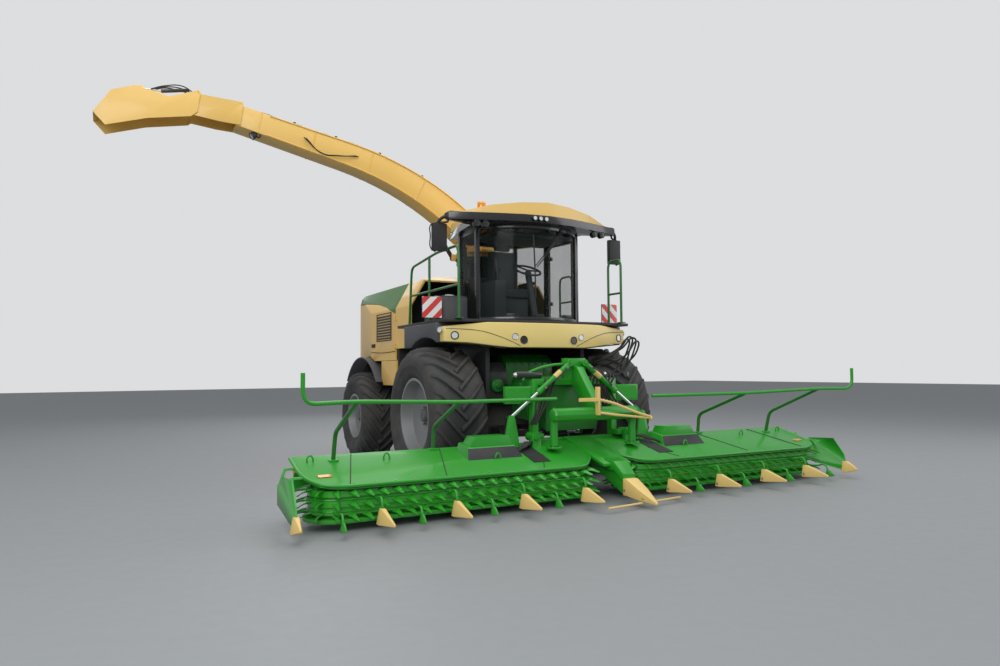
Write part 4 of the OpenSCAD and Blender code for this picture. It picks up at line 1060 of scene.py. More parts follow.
@dataclass
class Wheel:
    """A rim with its studs and hub."""

    side: Side
    end: str
    across: float
    along: float
    radius: float
    face: float
    hub: float
    studs: int = 10

    def build(self) -> None:
        """Rounds the rim's edges and bolts it on."""
        node = f"rim_{self.end}_{self.side.word}"
        reworked(node, RIM_SILVER, "rim_silver", 0.003, name=node + "_painted")
        x = self.across + self.face
        centre = Vector((x, self.along, self.radius))
        parts = []
        for i in range(self.studs):
            a = 2 * math.pi * i / self.studs
            foot = centre + Vector((-0.002, math.cos(a) * self.hub * 0.78, math.sin(a) * self.hub * 0.78))
            nut = Work.rod("nut", foot, foot + Vector((0.022, 0, 0)), 0.017, 6)
            nut.choose(Part.FACES, lambda c, n: n.x > 0.9)
            nut.inset(0.004).extrude(by=(0.004, 0, 0)).inset(0.003).extrude(by=(0.014, 0, 0))
            parts.append(nut)
        cap = Work.rod("cap", centre - Vector((0.004, 0, 0)), centre + Vector((0.05, 0, 0)),
                       self.hub * 0.56, 32)
        cap.choose(Part.FACES, lambda c, n: n.x > 0.9)
        cap.inset(0.012).extrude(by=(0.014, 0, 0)).inset(0.02, 0.004)
        parts.append(cap.rounded_edges(0.004))
        hub = join_all(parts, f"hub_{self.end}_{self.side.word}")
        if self.side is Side.RIGHT:
            mirror = hub.mirrored(hub.obj.name + "_m")
            object_mode()
            bpy.data.objects.remove(hub.obj)
            hub = mirror
            hub.obj.name = f"hub_{self.end}_{self.side.word}"
        hub.done(f"wheel_{self.end}_{self.side.word}", "axle_grey", CAST_GREY)


def lamp_face(work: Work, test: Callable[[Vector, Vector], bool], rim: float, depth: float,
              lens: Finish = CLEAR_LENS) -> None:
    """Sinks a lens into the end faces that pass a test and gives it its finish."""
    work.choose(Part.FACES, test)
    work.inset(rim).inset(rim * 0.3, -depth)
    object_mode()
    mesh = work.obj.data
    mesh.materials.append(lens.material())
    for face in mesh.polygons:
        if face.select:
            face.material_index = len(mesh.materials) - 1


def round_lamp(name: str, place: Point, ahead: Point, radius: float, depth: float = 0.05,
               finish: Finish = BLACK_PLASTIC, lens: Finish = CLEAR_LENS) -> Work:
    """A round lamp: a stepped housing with a sunk lens.

    Args:
        name: the lamp's name.
        place: the middle of its front face.
        ahead: the direction that it shines in.
        radius: the radius of its housing.
        depth: the housing's depth.
        finish: the housing's finish.
        lens: the lens's finish.

    Returns:
        The lamp.
    """
    beam = Vector(ahead).normalized()
    front = Vector(place)
    lamp = Work.rod(name, front - beam * depth, front, radius * 0.72, 28, radius)
    lamp.paint(finish)
    lamp_face(lamp, lambda c, n: n.dot(beam) > 0.95, radius * 0.16, radius * 0.12, lens)
    return lamp.rounded_edges(radius * 0.05, 1)


def hex_bolt(name: str, place: Point, ahead: Point, radius: float) -> Work:
    """A bolt head with its washer."""
    axis = Vector(ahead).normalized()
    foot = Vector(place)
    bolt = Work.rod(name, foot, foot + axis * radius * 0.35, radius * 1.45, 16)
    head = Work.rod(name, foot + axis * radius * 0.30, foot + axis * radius * 1.1, radius, 6)
    return bolt.join([head.rounded_edges(radius * 0.12, 1)])


@dataclass
class Roof:
    """The cab's roof with its band of lamps and its beacons."""

    band_high: float = 3.62
    beacon_x: float = 0.56
    beacon_y: float = 0.12
    lamps: tuple = ((-0.240, -0.855, 3.568, 0.036), (-0.150, -0.855, 3.568, 0.036),
                    (-0.060, -0.855, 3.568, 0.036),
                    (0.880, -0.655, 3.472, 0.046), (1.010, -0.655, 3.472, 0.046),
                    (-0.880, -0.655, 3.472, 0.046), (-1.010, -0.655, 3.472, 0.046))

    def build(self) -> None:
        """Rounds the cap, blackens the band and fits the lamps."""
        shell = Work.copy_of("roof_shell", "cab_roof", 0.012, 3)
        shell.paint(CREAM)
        shell.paint(GLOSS_BLACK, lambda c, n: c.z < self.band_high + 0.0008 or abs(c.x) > 1.19)
        shell.done("machine", "roof_cream", None, 38, ["cab_roof"])
        parts = [round_lamp("lamp", (x, y, z), (0, -1, 0), r, 0.06) for x, y, z, r in self.lamps]
        join_all(parts, "roof_lamps").done("machine", "trim_grey")
        for side in Side:
            self.beacon(side)
            self.band_trim(side)
        self.aerial()

    def beacon(self, side: Side) -> None:
        """A warning beacon on its foot."""
        x, y = side.value * self.beacon_x, self.beacon_y
        foot = Work.rod("foot", (x, y, 3.745), (x, y, 3.80), 0.078, 32, 0.070)
        foot.choose(Part.FACES, lambda c, n: n.z > 0.9)
        foot.inset(0.008).extrude(by=(0, 0, 0.012))
        foot.rounded_edges(0.004).paint(BLACK_PLASTIC)
        dome = Work.rod("dome", (x, y, 3.81), (x, y, 3.93), 0.064, 32, 0.061)
        dome.choose(Part.FACES, lambda c, n: n.z > 0.9)
        dome.extrude(by=(0, 0, 0.018), size=(0.86, 0.86, 1), about=(x, y, 3.95))
        dome.extrude(by=(0, 0, 0.008), size=(0.6, 0.6, 1), about=(x, y, 3.95))
        dome.paint(AMBER)
        join_all([foot, dome], "beacon_" + side.word).done("machine", "trim_grey", None, 40)

    def band_trim(self, side: Side) -> None:
        """The black arm that carries a mirror, from the roof's wing."""
        s = side.value
        arm = Work.pipe("arm", [(s * 1.18, -0.50, 3.60), (s * 1.30, -0.47, 3.585), (s * 1.40, -0.42, 3.55),
                                (s * 1.445, -0.38, 3.50), (s * 1.45, -0.36, 3.44)], 0.021)
        guard = Work.pipe("guard", [(s * 1.45, -0.345, 3.49), (s * 1.545, -0.345, 3.45),
                                    (s * 1.552, -0.345, 3.30),
                                    (s * 1.545, -0.345, 3.14), (s * 1.48, -0.345, 3.095)], 0.008)
        cover = Work.box("cover", (min(s * 1.17, s * 1.335), -0.50, 3.525),
                         (max(s * 1.17, s * 1.335), -0.41, 3.635))
        cover.choose(Part.FACES, lambda c, n: n.x * s > 0.9)
        cover.extrude(by=(s * 0.05, 0.03, -0.015), size=(1, 0.6, 0.6), about=(s * 1.36, -0.44, 3.57))
        cover.rounded_edges(0.015, 3)
        join_all([arm, guard, cover], "mirror_arm_" + side.word).done("machine", "trim_grey", BLACK_PLASTIC, 45)

    def aerial(self) -> None:
        """The round receiver on the cap."""
        base = Work.rod("receiver", (0.0, -0.45, 3.79), (0.0, -0.45, 3.83), 0.12, 40, 0.115)
        base.choose(Part.FACES, lambda c, n: n.z > 0.9)
        base.extrude(by=(0, 0, 0.022), size=(0.82, 0.82, 1), about=(0, -0.45, 3.83))
        base.extrude(by=(0, 0, 0.006), size=(0.6, 0.6, 1), about=(0, -0.45, 3.83))
        base.rounded_edges(0.004, 2, 20).paint(WHITE_CAP)
        base.done("machine", "trim_grey", None, 45)


@dataclass
class LightBeam:
    """The yellow beam under the windscreen."""

    outer: Point = (-1.322, -0.600, 1.985)
    inner: Point = (0.528, -0.782, 1.975)
    recess: Point = (0.400, -0.790, 1.930)

    def build(self) -> None:
        """Rounds the beam and sets its lamps, seams and end caps."""
        beam = Work.copy_of("light_beam", "front_light_beam", 0.016, 3)
        beam.paint(BEAM_CREAM)
        beam.done("machine", "bodywork_yellow", None, 40, ["front_light_beam"])
        parts = []
        for s in (-1, 1):
            parts.append(round_lamp("lamp", (s * abs(self.outer[0]), self.outer[1], self.outer[2]),
                                    (s * 0.30, -0.95, 0), 0.055, 0.06))
            parts.append(round_lamp("lamp", (s * self.inner[0], self.inner[1] - 0.004, self.inner[2]),
                                    (s * 0.1, -0.99, 0), 0.047, 0.05, STEEL))
            # The recessed lamps get a gloss black lens: painted shade for the dark inside the recess.
            parts.append(round_lamp("lamp", (s * self.recess[0], self.recess[1] - 0.004, self.recess[2]),
                                    (s * 0.1, -0.99, 0), 0.056, 0.05, BLACK_PLASTIC, GLOSS_BLACK))
        join_all(parts, "beam_lamps").done("machine", "trim_grey")
        seams = []
        for s in (-1, 1):
            seams.append(Work.pipe("seam", [(s * 1.43, -0.552, 2.075), (s * 1.0, -0.690, 2.045),
                                            (s * 0.72, -0.746, 1.965), (s * 0.56, -0.776, 1.90),
                                            (s * 0.45, -0.784, 1.852)], 0.0035, 0.0, 2))
        join_all(seams, "beam_seams").done("machine", "bodywork_yellow", BLACK_PLASTIC)
        lip = Work.pipe("beam_lip", [(-1.40, -0.50, 1.895), (-0.98, -0.665, 1.862), (-0.60, -0.750, 1.826),
                                     (0.60, -0.750, 1.826), (0.98, -0.665, 1.862), (1.40, -0.50, 1.895)],
                        0.008, 0.06, 2)
        lip.done("machine", "trim_grey", BLACK_PLASTIC)
        for side in Side:
            self.marker(side)

    def marker(self, side: Side) -> None:
        """A round side marker on the end of the beam."""
        s = side.value
        lamp = round_lamp("marker_" + side.word, (s * 1.492, -0.49, 2.06), (s, -0.4, 0), 0.038, 0.05,
                          WHITE_CAP, CLEAR_LENS)
        lamp.done("machine", "trim_grey")


@dataclass
class Cab:
    """What the cab shows: frame, glass, wiper, seat and controls."""

    floor: float = 2.25

    def build(self) -> None:
        """Finishes the frame and fits out the inside."""
        reworked("cab_frame", GLOSS_BLACK, "cab_black", 0.010)
        reworked("cab_door", GLOSS_BLACK, "cab_black", 0.006)
        for node in ("cab_windows", "cab_door_glass"):
            redress(node, CAB_GLASS)
        self.wiper()
        self.handle()
        self.cushions()
        self.controls()
        self.trim()

    def screen(self, x: float, z: float, out: float = 0.012) -> Vector:
        """A point just in front of the windscreen."""
        return Vector((x, 0.2467 - math.sqrt((0.9227 + out) ** 2 - x * x), z))

    def wiper(self) -> None:
        """The wiper's two arms and its blade."""
        arms = []
        for shift in (0.0, 0.035):
            arms.append(Work.pipe("arm", [self.screen(0.30 + shift, 3.47, 0.02),
                                          self.screen(0.10 + shift, 3.24, 0.03),
                                          self.screen(-0.16 + shift, 2.93, 0.022)], 0.007, 0, 2))
        blade = Work.pipe("blade", [self.screen(-0.17, 3.38, 0.014), self.screen(-0.155, 2.95, 0.02),
                                    self.screen(-0.145, 2.50, 0.014)], 0.010, 0, 2)
        motor = Work.rod("motor", self.screen(0.30, 3.47, 0.0), self.screen(0.30, 3.47, 0.05), 0.032, 20)
        motor.rounded_edges(0.006)
        join_all(arms + [blade, motor], "wiper").done("machine", "cab_black", BLACK_PLASTIC)

    def handle(self) -> None:
        """The door's outer handle."""
        start, end = Vector((0.735, 0.45, 0)), Vector((0.812, -0.24, 0))
        run = (end - start).normalized()
        out = Vector((-run.y, run.x, 0)) * -1
        out = out if out.x > 0 else -out
        foot = start + run * 0.60
        parts = []
        for z in (2.62, 2.86):
            parts.append(Work.rod("post", foot + out * 0.018 + Vector((0, 0, z)),
                                  foot + out * 0.062 + Vector((0, 0, z)), 0.013, 14))
        parts.append(Work.pipe("grip", [foot + out * 0.062 + Vector((0, 0, 2.60)),
                                        foot + out * 0.072 + Vector((0, 0, 2.74)),
                                        foot + out * 0.062 + Vector((0, 0, 2.88))], 0.014, 0, 3))
        join_all(parts, "door_handle").done("cab_door", "cab_black", BLACK_PLASTIC)

    def cushions(self) -> None:
        """The seat: cushion, back, headrest and arms."""
        for name, low, high, crown in (
                ("seat_cushion", (-0.235, 0.065, 2.584), (0.235, 0.525, 2.708), 0.035),
                ("seat_back", (-0.225, 0.485, 2.73), (0.225, 0.598, 3.32), 0.03)):
            pad = Work.box(name, low, high)
            pad.every(Part.FACES)
            bpy.ops.mesh.subdivide(number_cuts=3)
            face = (lambda c, n: n.z > 0.9) if "cushion" in name else (lambda c, n: n.y < -0.9)
            pad.choose(Part.FACES, face)
            pad.inset(0.035)
            push = (0, 0, crown * 0.5) if "cushion" in name else (0, -crown * 0.5, 0)
            pad.shift(push)
            pad.rounded_edges(0.02, 2, 50).smooth(2)
            obj = pad.done("machine", "seat_fabric", SEAT_CLOTH, 60,
                           ["cab_seat"] if "cushion" in name else [])
        rest = Work.box("headrest", (-0.13, 0.50, 3.335), (0.13, 0.585, 3.45))
        rest.rounded_edges(0.03, 4)
        post = Work.rod("post", (0, 0.545, 3.28), (0, 0.545, 3.35), 0.012, 12)
        join_all([rest, post], "headrest").done("machine", "seat_fabric", SEAT_CLOTH, 60)
        arms = []
        for s in (-1, 1):
            arm = Work.box("arm", (s * 0.29 - 0.035, 0.10, 2.79), (s * 0.29 + 0.035, 0.50, 2.84))
            arm.rounded_edges(0.018, 3)
            stay = Work.rod("stay", (s * 0.29, 0.47, 2.80), (s * 0.236, 0.50, 2.66), 0.016, 12)
            arms += [arm, stay]
        stick = Work.pipe("stick", [(-0.29, 0.12, 2.83), (-0.29, 0.10, 2.90), (-0.28, 0.085, 2.95)],
                          0.013, 0, 3)
        knob = Work.rod("knob", (-0.28, 0.085, 2.93), (-0.278, 0.075, 3.02), 0.022, 20, 0.030)
        knob.rounded_edges(0.012, 3)
        join_all(arms + [stick, knob], "seat_arms").done("machine", "console_plastic", BLACK_PLASTIC, 45)

    def controls(self) -> None:
        """The console and the screen on its post."""
        reworked("cab_console", GREY_PLASTIC, "console_plastic", 0.008, name="console")
        screen = Work.box("screen", (-0.46, -0.20, 2.93), (-0.43, 0.04, 3.11))
        screen.choose(Part.FACES, lambda c, n: n.x > 0.9)
        screen.inset(0.012, -0.003)
        screen.rounded_edges(0.006)
        screen.choose(Part.POINTS, lambda p: True).turned(math.radians(-32), "Z", (-0.44, -0.08, 3.0))
        post = Work.pipe("post", [(-0.40, -0.02, 2.80), (-0.42, -0.06, 2.86), (-0.45, -0.09, 2.95)],
                         0.014, 0, 3)
        join_all([screen, post], "console_screen").done("machine", "console_plastic", BLACK_PLASTIC, 45)

    def trim(self) -> None:
        """The vents on the sill, the wall panels behind the seat and the lining over the windscreen."""
        parts = []
        for x in (-0.45, 0.0, 0.45):
            vent = Work.box("vent", (x - 0.07, -0.56, 2.252), (x + 0.07, -0.50, 2.30))
            vent.rounded_edges(0.01, 2)
            parts.append(vent)
        wall = Work.box("wall", (-0.41, 0.875, 2.27), (0.41, 0.90, 2.96))
        parts.append(wall.rounded_edges(0.01, 2))
        corner = Work.box("wall", (-0.775, 0.64, 2.27), (-0.355, 0.665, 3.40))
        corner.choose(Part.POINTS, lambda p: True).turned(math.radians(60), "Z", (-0.565, 0.65, 2.8))
        parts.append(corner.rounded_edges(0.01, 2))
        lining = Work.box("lining", (-0.62, -0.42, 3.40), (0.62, 0.30, 3.455))
        lining.choose(Part.FACES, lambda c, n: n.z < -0.9)
        lining.inset(0.05).extrude(by=(0, 0, -0.03), size=(0.92, 0.92, 1), about=(0, -0.1, 3.40))
        lining.rounded_edges(0.01, 2)
        parts.append(lining)
        join_all(parts, "cab_lining").done("machine", "cab_black", GREY_PLASTIC, 45)


@dataclass
class Platform:
    """The rails, ladder, locker, boards and mirrors round the cab."""

    rail_x: float = 1.30
    tube: float = 0.018

    def build(self) -> None:
        """Bends the rails and dresses the platform."""
        self.rails()
        deck = Work.copy_of("platform_plate", "platform", 0.004)
        deck.paint(FRAME_BLACK)
        # The tread plate's holes carry painted shade.
        deck.paint(TREAD, lambda c, n: n.z > 0.9 and c.z > 2.19)
        deck.paint(RAIL_GREEN, lambda c, n: c.z < 2.158)
        deck.paint(TREAD, lambda c, n: n.z > 0.9 and c.z < 2.158)
        deck.done("machine", "chassis_black", None, 32, ["platform"])
        locker = Work.copy_of("locker_and_tanks", "tanks_and_locker", 0.022, 3)
        locker.paint(SLATE)
        locker.paint(FRAME_BLACK, lambda c, n: c.z < 1.5)
        locker.paint(WHITE_CAP, lambda c, n: c.z > 2.532)
        locker.done("machine", "trim_grey", None, 40, ["tanks_and_locker"])
        boards = Work.copy_of("warning_plates", "warning_boards", 0.002, 1)
        boards.paint(GREY_PLASTIC)
        boards.paint(BOARD_STRIPES, lambda c, n: n.y < -0.9 and c.y < -0.185 or n.y > 0.9 and c.y < -0.165)
        boards.done("machine", "board_red", None, 32, ["warning_boards"])
        mirrors = Work.copy_of("mirror_heads", "mirrors", 0.028, 4)
        mirrors.paint(BLACK_PLASTIC)
        mirrors.paint(MIRROR, lambda c, n: n.y > 0.95 and c.z < 3.47)
        mirrors.done("machine", "trim_grey", None, 45, ["mirrors"])
        fenders = Work.copy_of("front_arches", "front_fenders", 0.012, 2)
        fenders.done("machine", "trim_grey", SLATE, 35, ["front_fenders"])
        self.locker_lid()
        self.grab_bars()

    def rails(self) -> None:
        """The green guard rails."""
        x, r = self.rail_x, self.tube
        loops = [
            Work.pipe("rail", [(-x, -0.68, 2.2), (-x, -0.68, 3.06), (-x, -0.62, 3.15), (-x, 0.04, 3.15),
                               (-x, 0.96, 3.06), (-x, 1.06, 2.2)], r, 0.11, 4),
            Work.pipe("rail", [(-x, 0.29, 2.2), (-x, 0.29, 3.12)], r, 0.05, 4),
            Work.pipe("rail", [(-x, -0.675, 2.64), (-x, 1.0, 2.64)], r * 0.9, 0.05, 4),
            Work.pipe("rail", [(x, -0.69, 2.2), (x, -0.69, 3.06), (x, -0.65, 3.13), (x, -0.43, 3.13),
                               (x, -0.39, 3.06), (x, -0.39, 2.2)], r, 0.11, 4),
            Work.pipe("rail", [(x, -0.685, 2.64), (x, -0.395, 2.64)], r * 0.9, 0.05, 4),
            Work.pipe("rail", [(1.40, 0.72, 2.2), (1.40, 0.72, 3.06), (1.40, 1.08, 3.06), (1.40, 1.08, 2.2)],
                      r, 0.11, 4),
            Work.pipe("rail", [(1.40, 0.725, 2.64), (1.40, 1.075, 2.64)], r * 0.9, 0.05, 4)]
        feet = []
        for fx, fy in ((-x, -0.68), (-x, 0.29), (-x, 1.06), (x, -0.69), (x, -0.39), (1.40, 0.72), (1.40, 1.08)):
            foot = Work.box("foot", (fx - 0.045, fy - 0.045, 2.201), (fx + 0.045, fy + 0.045, 2.213))
            feet.append(foot.rounded_edges(0.003, 1))
            for dx, dy in ((-0.03, -0.03), (0.03, 0.03)):
                feet.append(hex_bolt("bolt", (fx + dx, fy + dy, 2.213), (0, 0, 1), 0.008))
        join_all(loops + feet, "guard_rails").done("machine", "rail_green", RAIL_GREEN, 45, ["handrails"])

    def locker_lid(self) -> None:
        """The lid, latch and ribs on the locker."""
        lid = Work.box("lid", (-1.275, -0.12, 2.528), (-0.915, 0.235, 2.548))
        lid.choose(Part.FACES, lambda c, n: n.z > 0.9)
        lid.inset(0.03).extrude(by=(0, 0, 0.008), size=(0.94, 0.94, 1), about=(-1.095, 0.06, 2.55))
        lid.rounded_edges(0.006, 2)
        latch = Work.pipe("latch", [(-1.29, 0.02, 2.46), (-1.305, 0.05, 2.46), (-1.305, 0.15, 2.46),
                                    (-1.29, 0.18, 2.46)], 0.007, 0, 2)
        ribs = []
        for z in (2.28, 2.36, 2.44):
            rib = Work.box("rib", (-1.296, -0.08, z - 0.008), (-1.283, 0.47, z + 0.008))
            ribs.append(rib.rounded_edges(0.005, 2))
        join_all([lid, latch] + ribs, "locker_lid").done("machine", "trim_grey", SLATE)

    def grab_bars(self) -> None:
        """The ladder's side bars."""
        bars = []
        for y in (1.16, 1.58):
            bars.append(Work.pipe("bar", [(1.445, y, 2.20), (1.465, y, 1.95), (1.47, y, 1.60),
                                          (1.445, y, 1.30)],
                                  0.014, 0, 3))
        join_all(bars, "ladder_bars").done("machine", "rail_green", RAIL_GREEN, 45)


@dataclass
class Bodywork:
    """The panels round the engine, with their louvres, handles and lamps."""

    half: float = 1.25

    def build(self) -> None:
        """Rounds the panels and fits what they carry."""
        reworked("hood_top", HOOD_GREEN, "hood_green", 0.010, 24)
        panels = Work.copy_of("body_shell", "body_panels", 0.008)
        panels.done("machine", "bodywork_yellow", YELLOW, 24, ["body_panels"])
        for side in Side:
            reworked("side_door_" + side.word, YELLOW, "bodywork_yellow", 0.006, 24)
            self.side_fittings(side)
            self.tail_lamp(side)
        self.grille()
        self.top_screen()
        self.exhaust()
        arches = Work.copy_of("rear_arches", "rear_fenders", 0.006, 2)
        arches.done("machine", "trim_grey", SLATE, 40, ["rear_fenders"])
        reworked("rear_bumper", FRAME_BLACK, "chassis_black", 0.008)
        redress("body_frame", FRAME_BLACK)

    def side_fittings(self, side: Side) -> None:
        """A pressed panel, a row of louvres, the handle and trim on a service door."""
        parts = []
        for i in range(9):
            z = 2.05 + i * 0.045
            slat = Work.box("slat", (1.249, 2.02, z), (1.262, 2.66, z + 0.028))
            slat.choose(Part.EDGES, lambda a, b: min(a.x, b.x) > 1.26 and min(a.z, b.z) > z + 0.02)
            slat.shift((-0.009, 0, 0)).rounded_edges(0.003, 1)
            parts.append(slat)
        for low, high in (((1.249, 1.98, 2.02), (1.258, 2.005, 2.47)),
                          ((1.249, 2.675, 2.02), (1.258, 2.70, 2.47)),
                          ((1.249, 1.98, 2.465), (1.258, 2.70, 2.48)),
                          ((1.249, 1.98, 2.02), (1.258, 2.70, 2.035))):
            parts.append(Work.box("edge", low, high).rounded_edges(0.003, 1))
        louvre = join_all(parts, "louvre")
        handle = Work.box("handle", (1.248, 2.78, 1.93), (1.262, 2.96, 1.99))
        handle.choose(Part.FACES, lambda c, n: n.x > 0.9)
        handle.inset(0.012, -0.006).inset(0.01).extrude(by=(0.012, 0, 0))
        handle.rounded_edges(0.004, 2).paint(BLACK_PLASTIC)
        louvre.paint(BLACK_PLASTIC)
        strip = Work.pipe("strip", [(1.252, 1.80, 1.84), (1.252, 2.40, 1.83), (1.252, 2.98, 1.85)], 0.006, 0, 2)
        strip.paint(BLACK_PLASTIC)
        fittings = join_all([louvre, handle, strip], "door_fittings_" + side.word)
        if side is Side.RIGHT:
            other = fittings.mirrored("door_fittings_m")
            object_mode()
            bpy.data.objects.remove(fittings.obj)
            fittings = other
            fittings.obj.name = "door_fittings_" + side.word
        fittings.done("side_door_" + side.word, "trim_grey")

    def tail_lamp(self, side: Side) -> None:
        """The rear lamp cluster and its reflector."""
        s = side.value
        parts = []
        for z, lens in ((2.02, RED_LENS), (2.12, AMBER), (1.92, CLEAR_LENS)):
            parts.append(round_lamp("lamp", (s * 0.83, 4.438, z), (0, 1, 0), 0.042, 0.045, BLACK_PLASTIC, lens))
        plate = Work.box("plate", (s * 0.83 - 0.06, 4.396, 1.86), (s * 0.83 + 0.06, 4.41, 2.18))
        plate.rounded_edges(0.008, 2).paint(BLACK_PLASTIC)
        reflector = Work.box("reflector", (s * 0.80 - 0.05, 4.436, 1.16), (s * 0.80 + 0.05, 4.45, 1.21))
        reflector.rounded_edges(0.003, 1).paint(RED_LENS)
        join_all(parts + [plate, reflector], "tail_lamp_" + side.word).done("machine", "trim_grey")

    def grille(self) -> None:
        """The radiator screen behind the rear grille's bars, and its latch."""
        reworked("rear_grille", BLACK_PLASTIC, "chassis_black", 0.004)
        screen = Work.box("screen", (-0.585, 4.377, 1.805), (0.585, 4.380, 2.585))
        # The radiator screen's holes carry painted shade.
        screen.paint(SCREEN_MESH)
        latch = Work.box("latch", (0.57, 4.398, 2.15), (0.62, 4.418, 2.27))
        latch.rounded_edges(0.006, 2).paint(BLACK_PLASTIC)
        join_all([screen, latch], "radiator_screen").done("rear_grille", "chassis_black")

    def top_screen(self) -> None:
        """The air intake on the hood's crown."""
        base = Work.box("frame", (-0.46, 2.90, 2.995), (0.46, 3.62, 3.036))
        base.choose(Part.FACES, lambda c, n: n.z > 0.9)
        base.inset(0.05, -0.012)
        base.rounded_edges(0.008, 2).paint(BLACK_PLASTIC)
        # The intake screen's holes carry painted shade.
        base.paint(SCREEN_MESH, lambda c, n: n.z > 0.9 and abs(c.x) < 0.3 and c.z < 3.03)
        bars = []
        for x in (-0.28, -0.14, 0.0, 0.14, 0.28):
            bars.append(Work.box("bar", (x - 0.008, 2.95, 3.022),
                                 (x + 0.008, 3.57, 3.034)).rounded_edges(0.003, 1))
        for bar in bars:
            bar.paint(BLACK_PLASTIC)
        ribs = []
        for s in (-1, 1):
            rib = Work.box("rib", (s * 0.58 - 0.02, 1.95, 2.985), (s * 0.58 + 0.02, 3.60, 3.024))
            rib.choose(Part.FACES, lambda c, n: n.z > 0.9)
            rib.extrude(by=(0, 0, 0.006), size=(0.5, 0.98, 1), about=(s * 0.58, 2.78, 3.02))
            ribs.append(rib.rounded_edges(0.006, 2))
        for rib in ribs:
            rib.paint(HOOD_GREEN)
        join_all([base] + bars + ribs, "hood_intake").done("machine", "chassis_black")

    def exhaust(self) -> None:
        """The exhaust's outlet on the hood."""
        pipe = Work.rod("pipe", (0.62, 2.35, 2.96), (0.62, 2.35, 3.16), 0.062, 36)
        pipe.choose(Part.FACES, lambda c, n: n.z > 0.9)
        pipe.inset(0.006, -0.12)
        pipe.choose(Part.POINTS, lambda p: p.z > 3.15).turned(math.radians(-14), "X", (0.62, 2.29, 3.16))
        pipe.paint(STEEL)
        collar = Work.rod("collar", (0.62, 2.35, 2.985), (0.62, 2.35, 3.02), 0.10, 36, 0.075)
        collar.paint(BLACK_PLASTIC)
        join_all([pipe, collar], "exhaust_outlet").done("machine", "engine_grey")


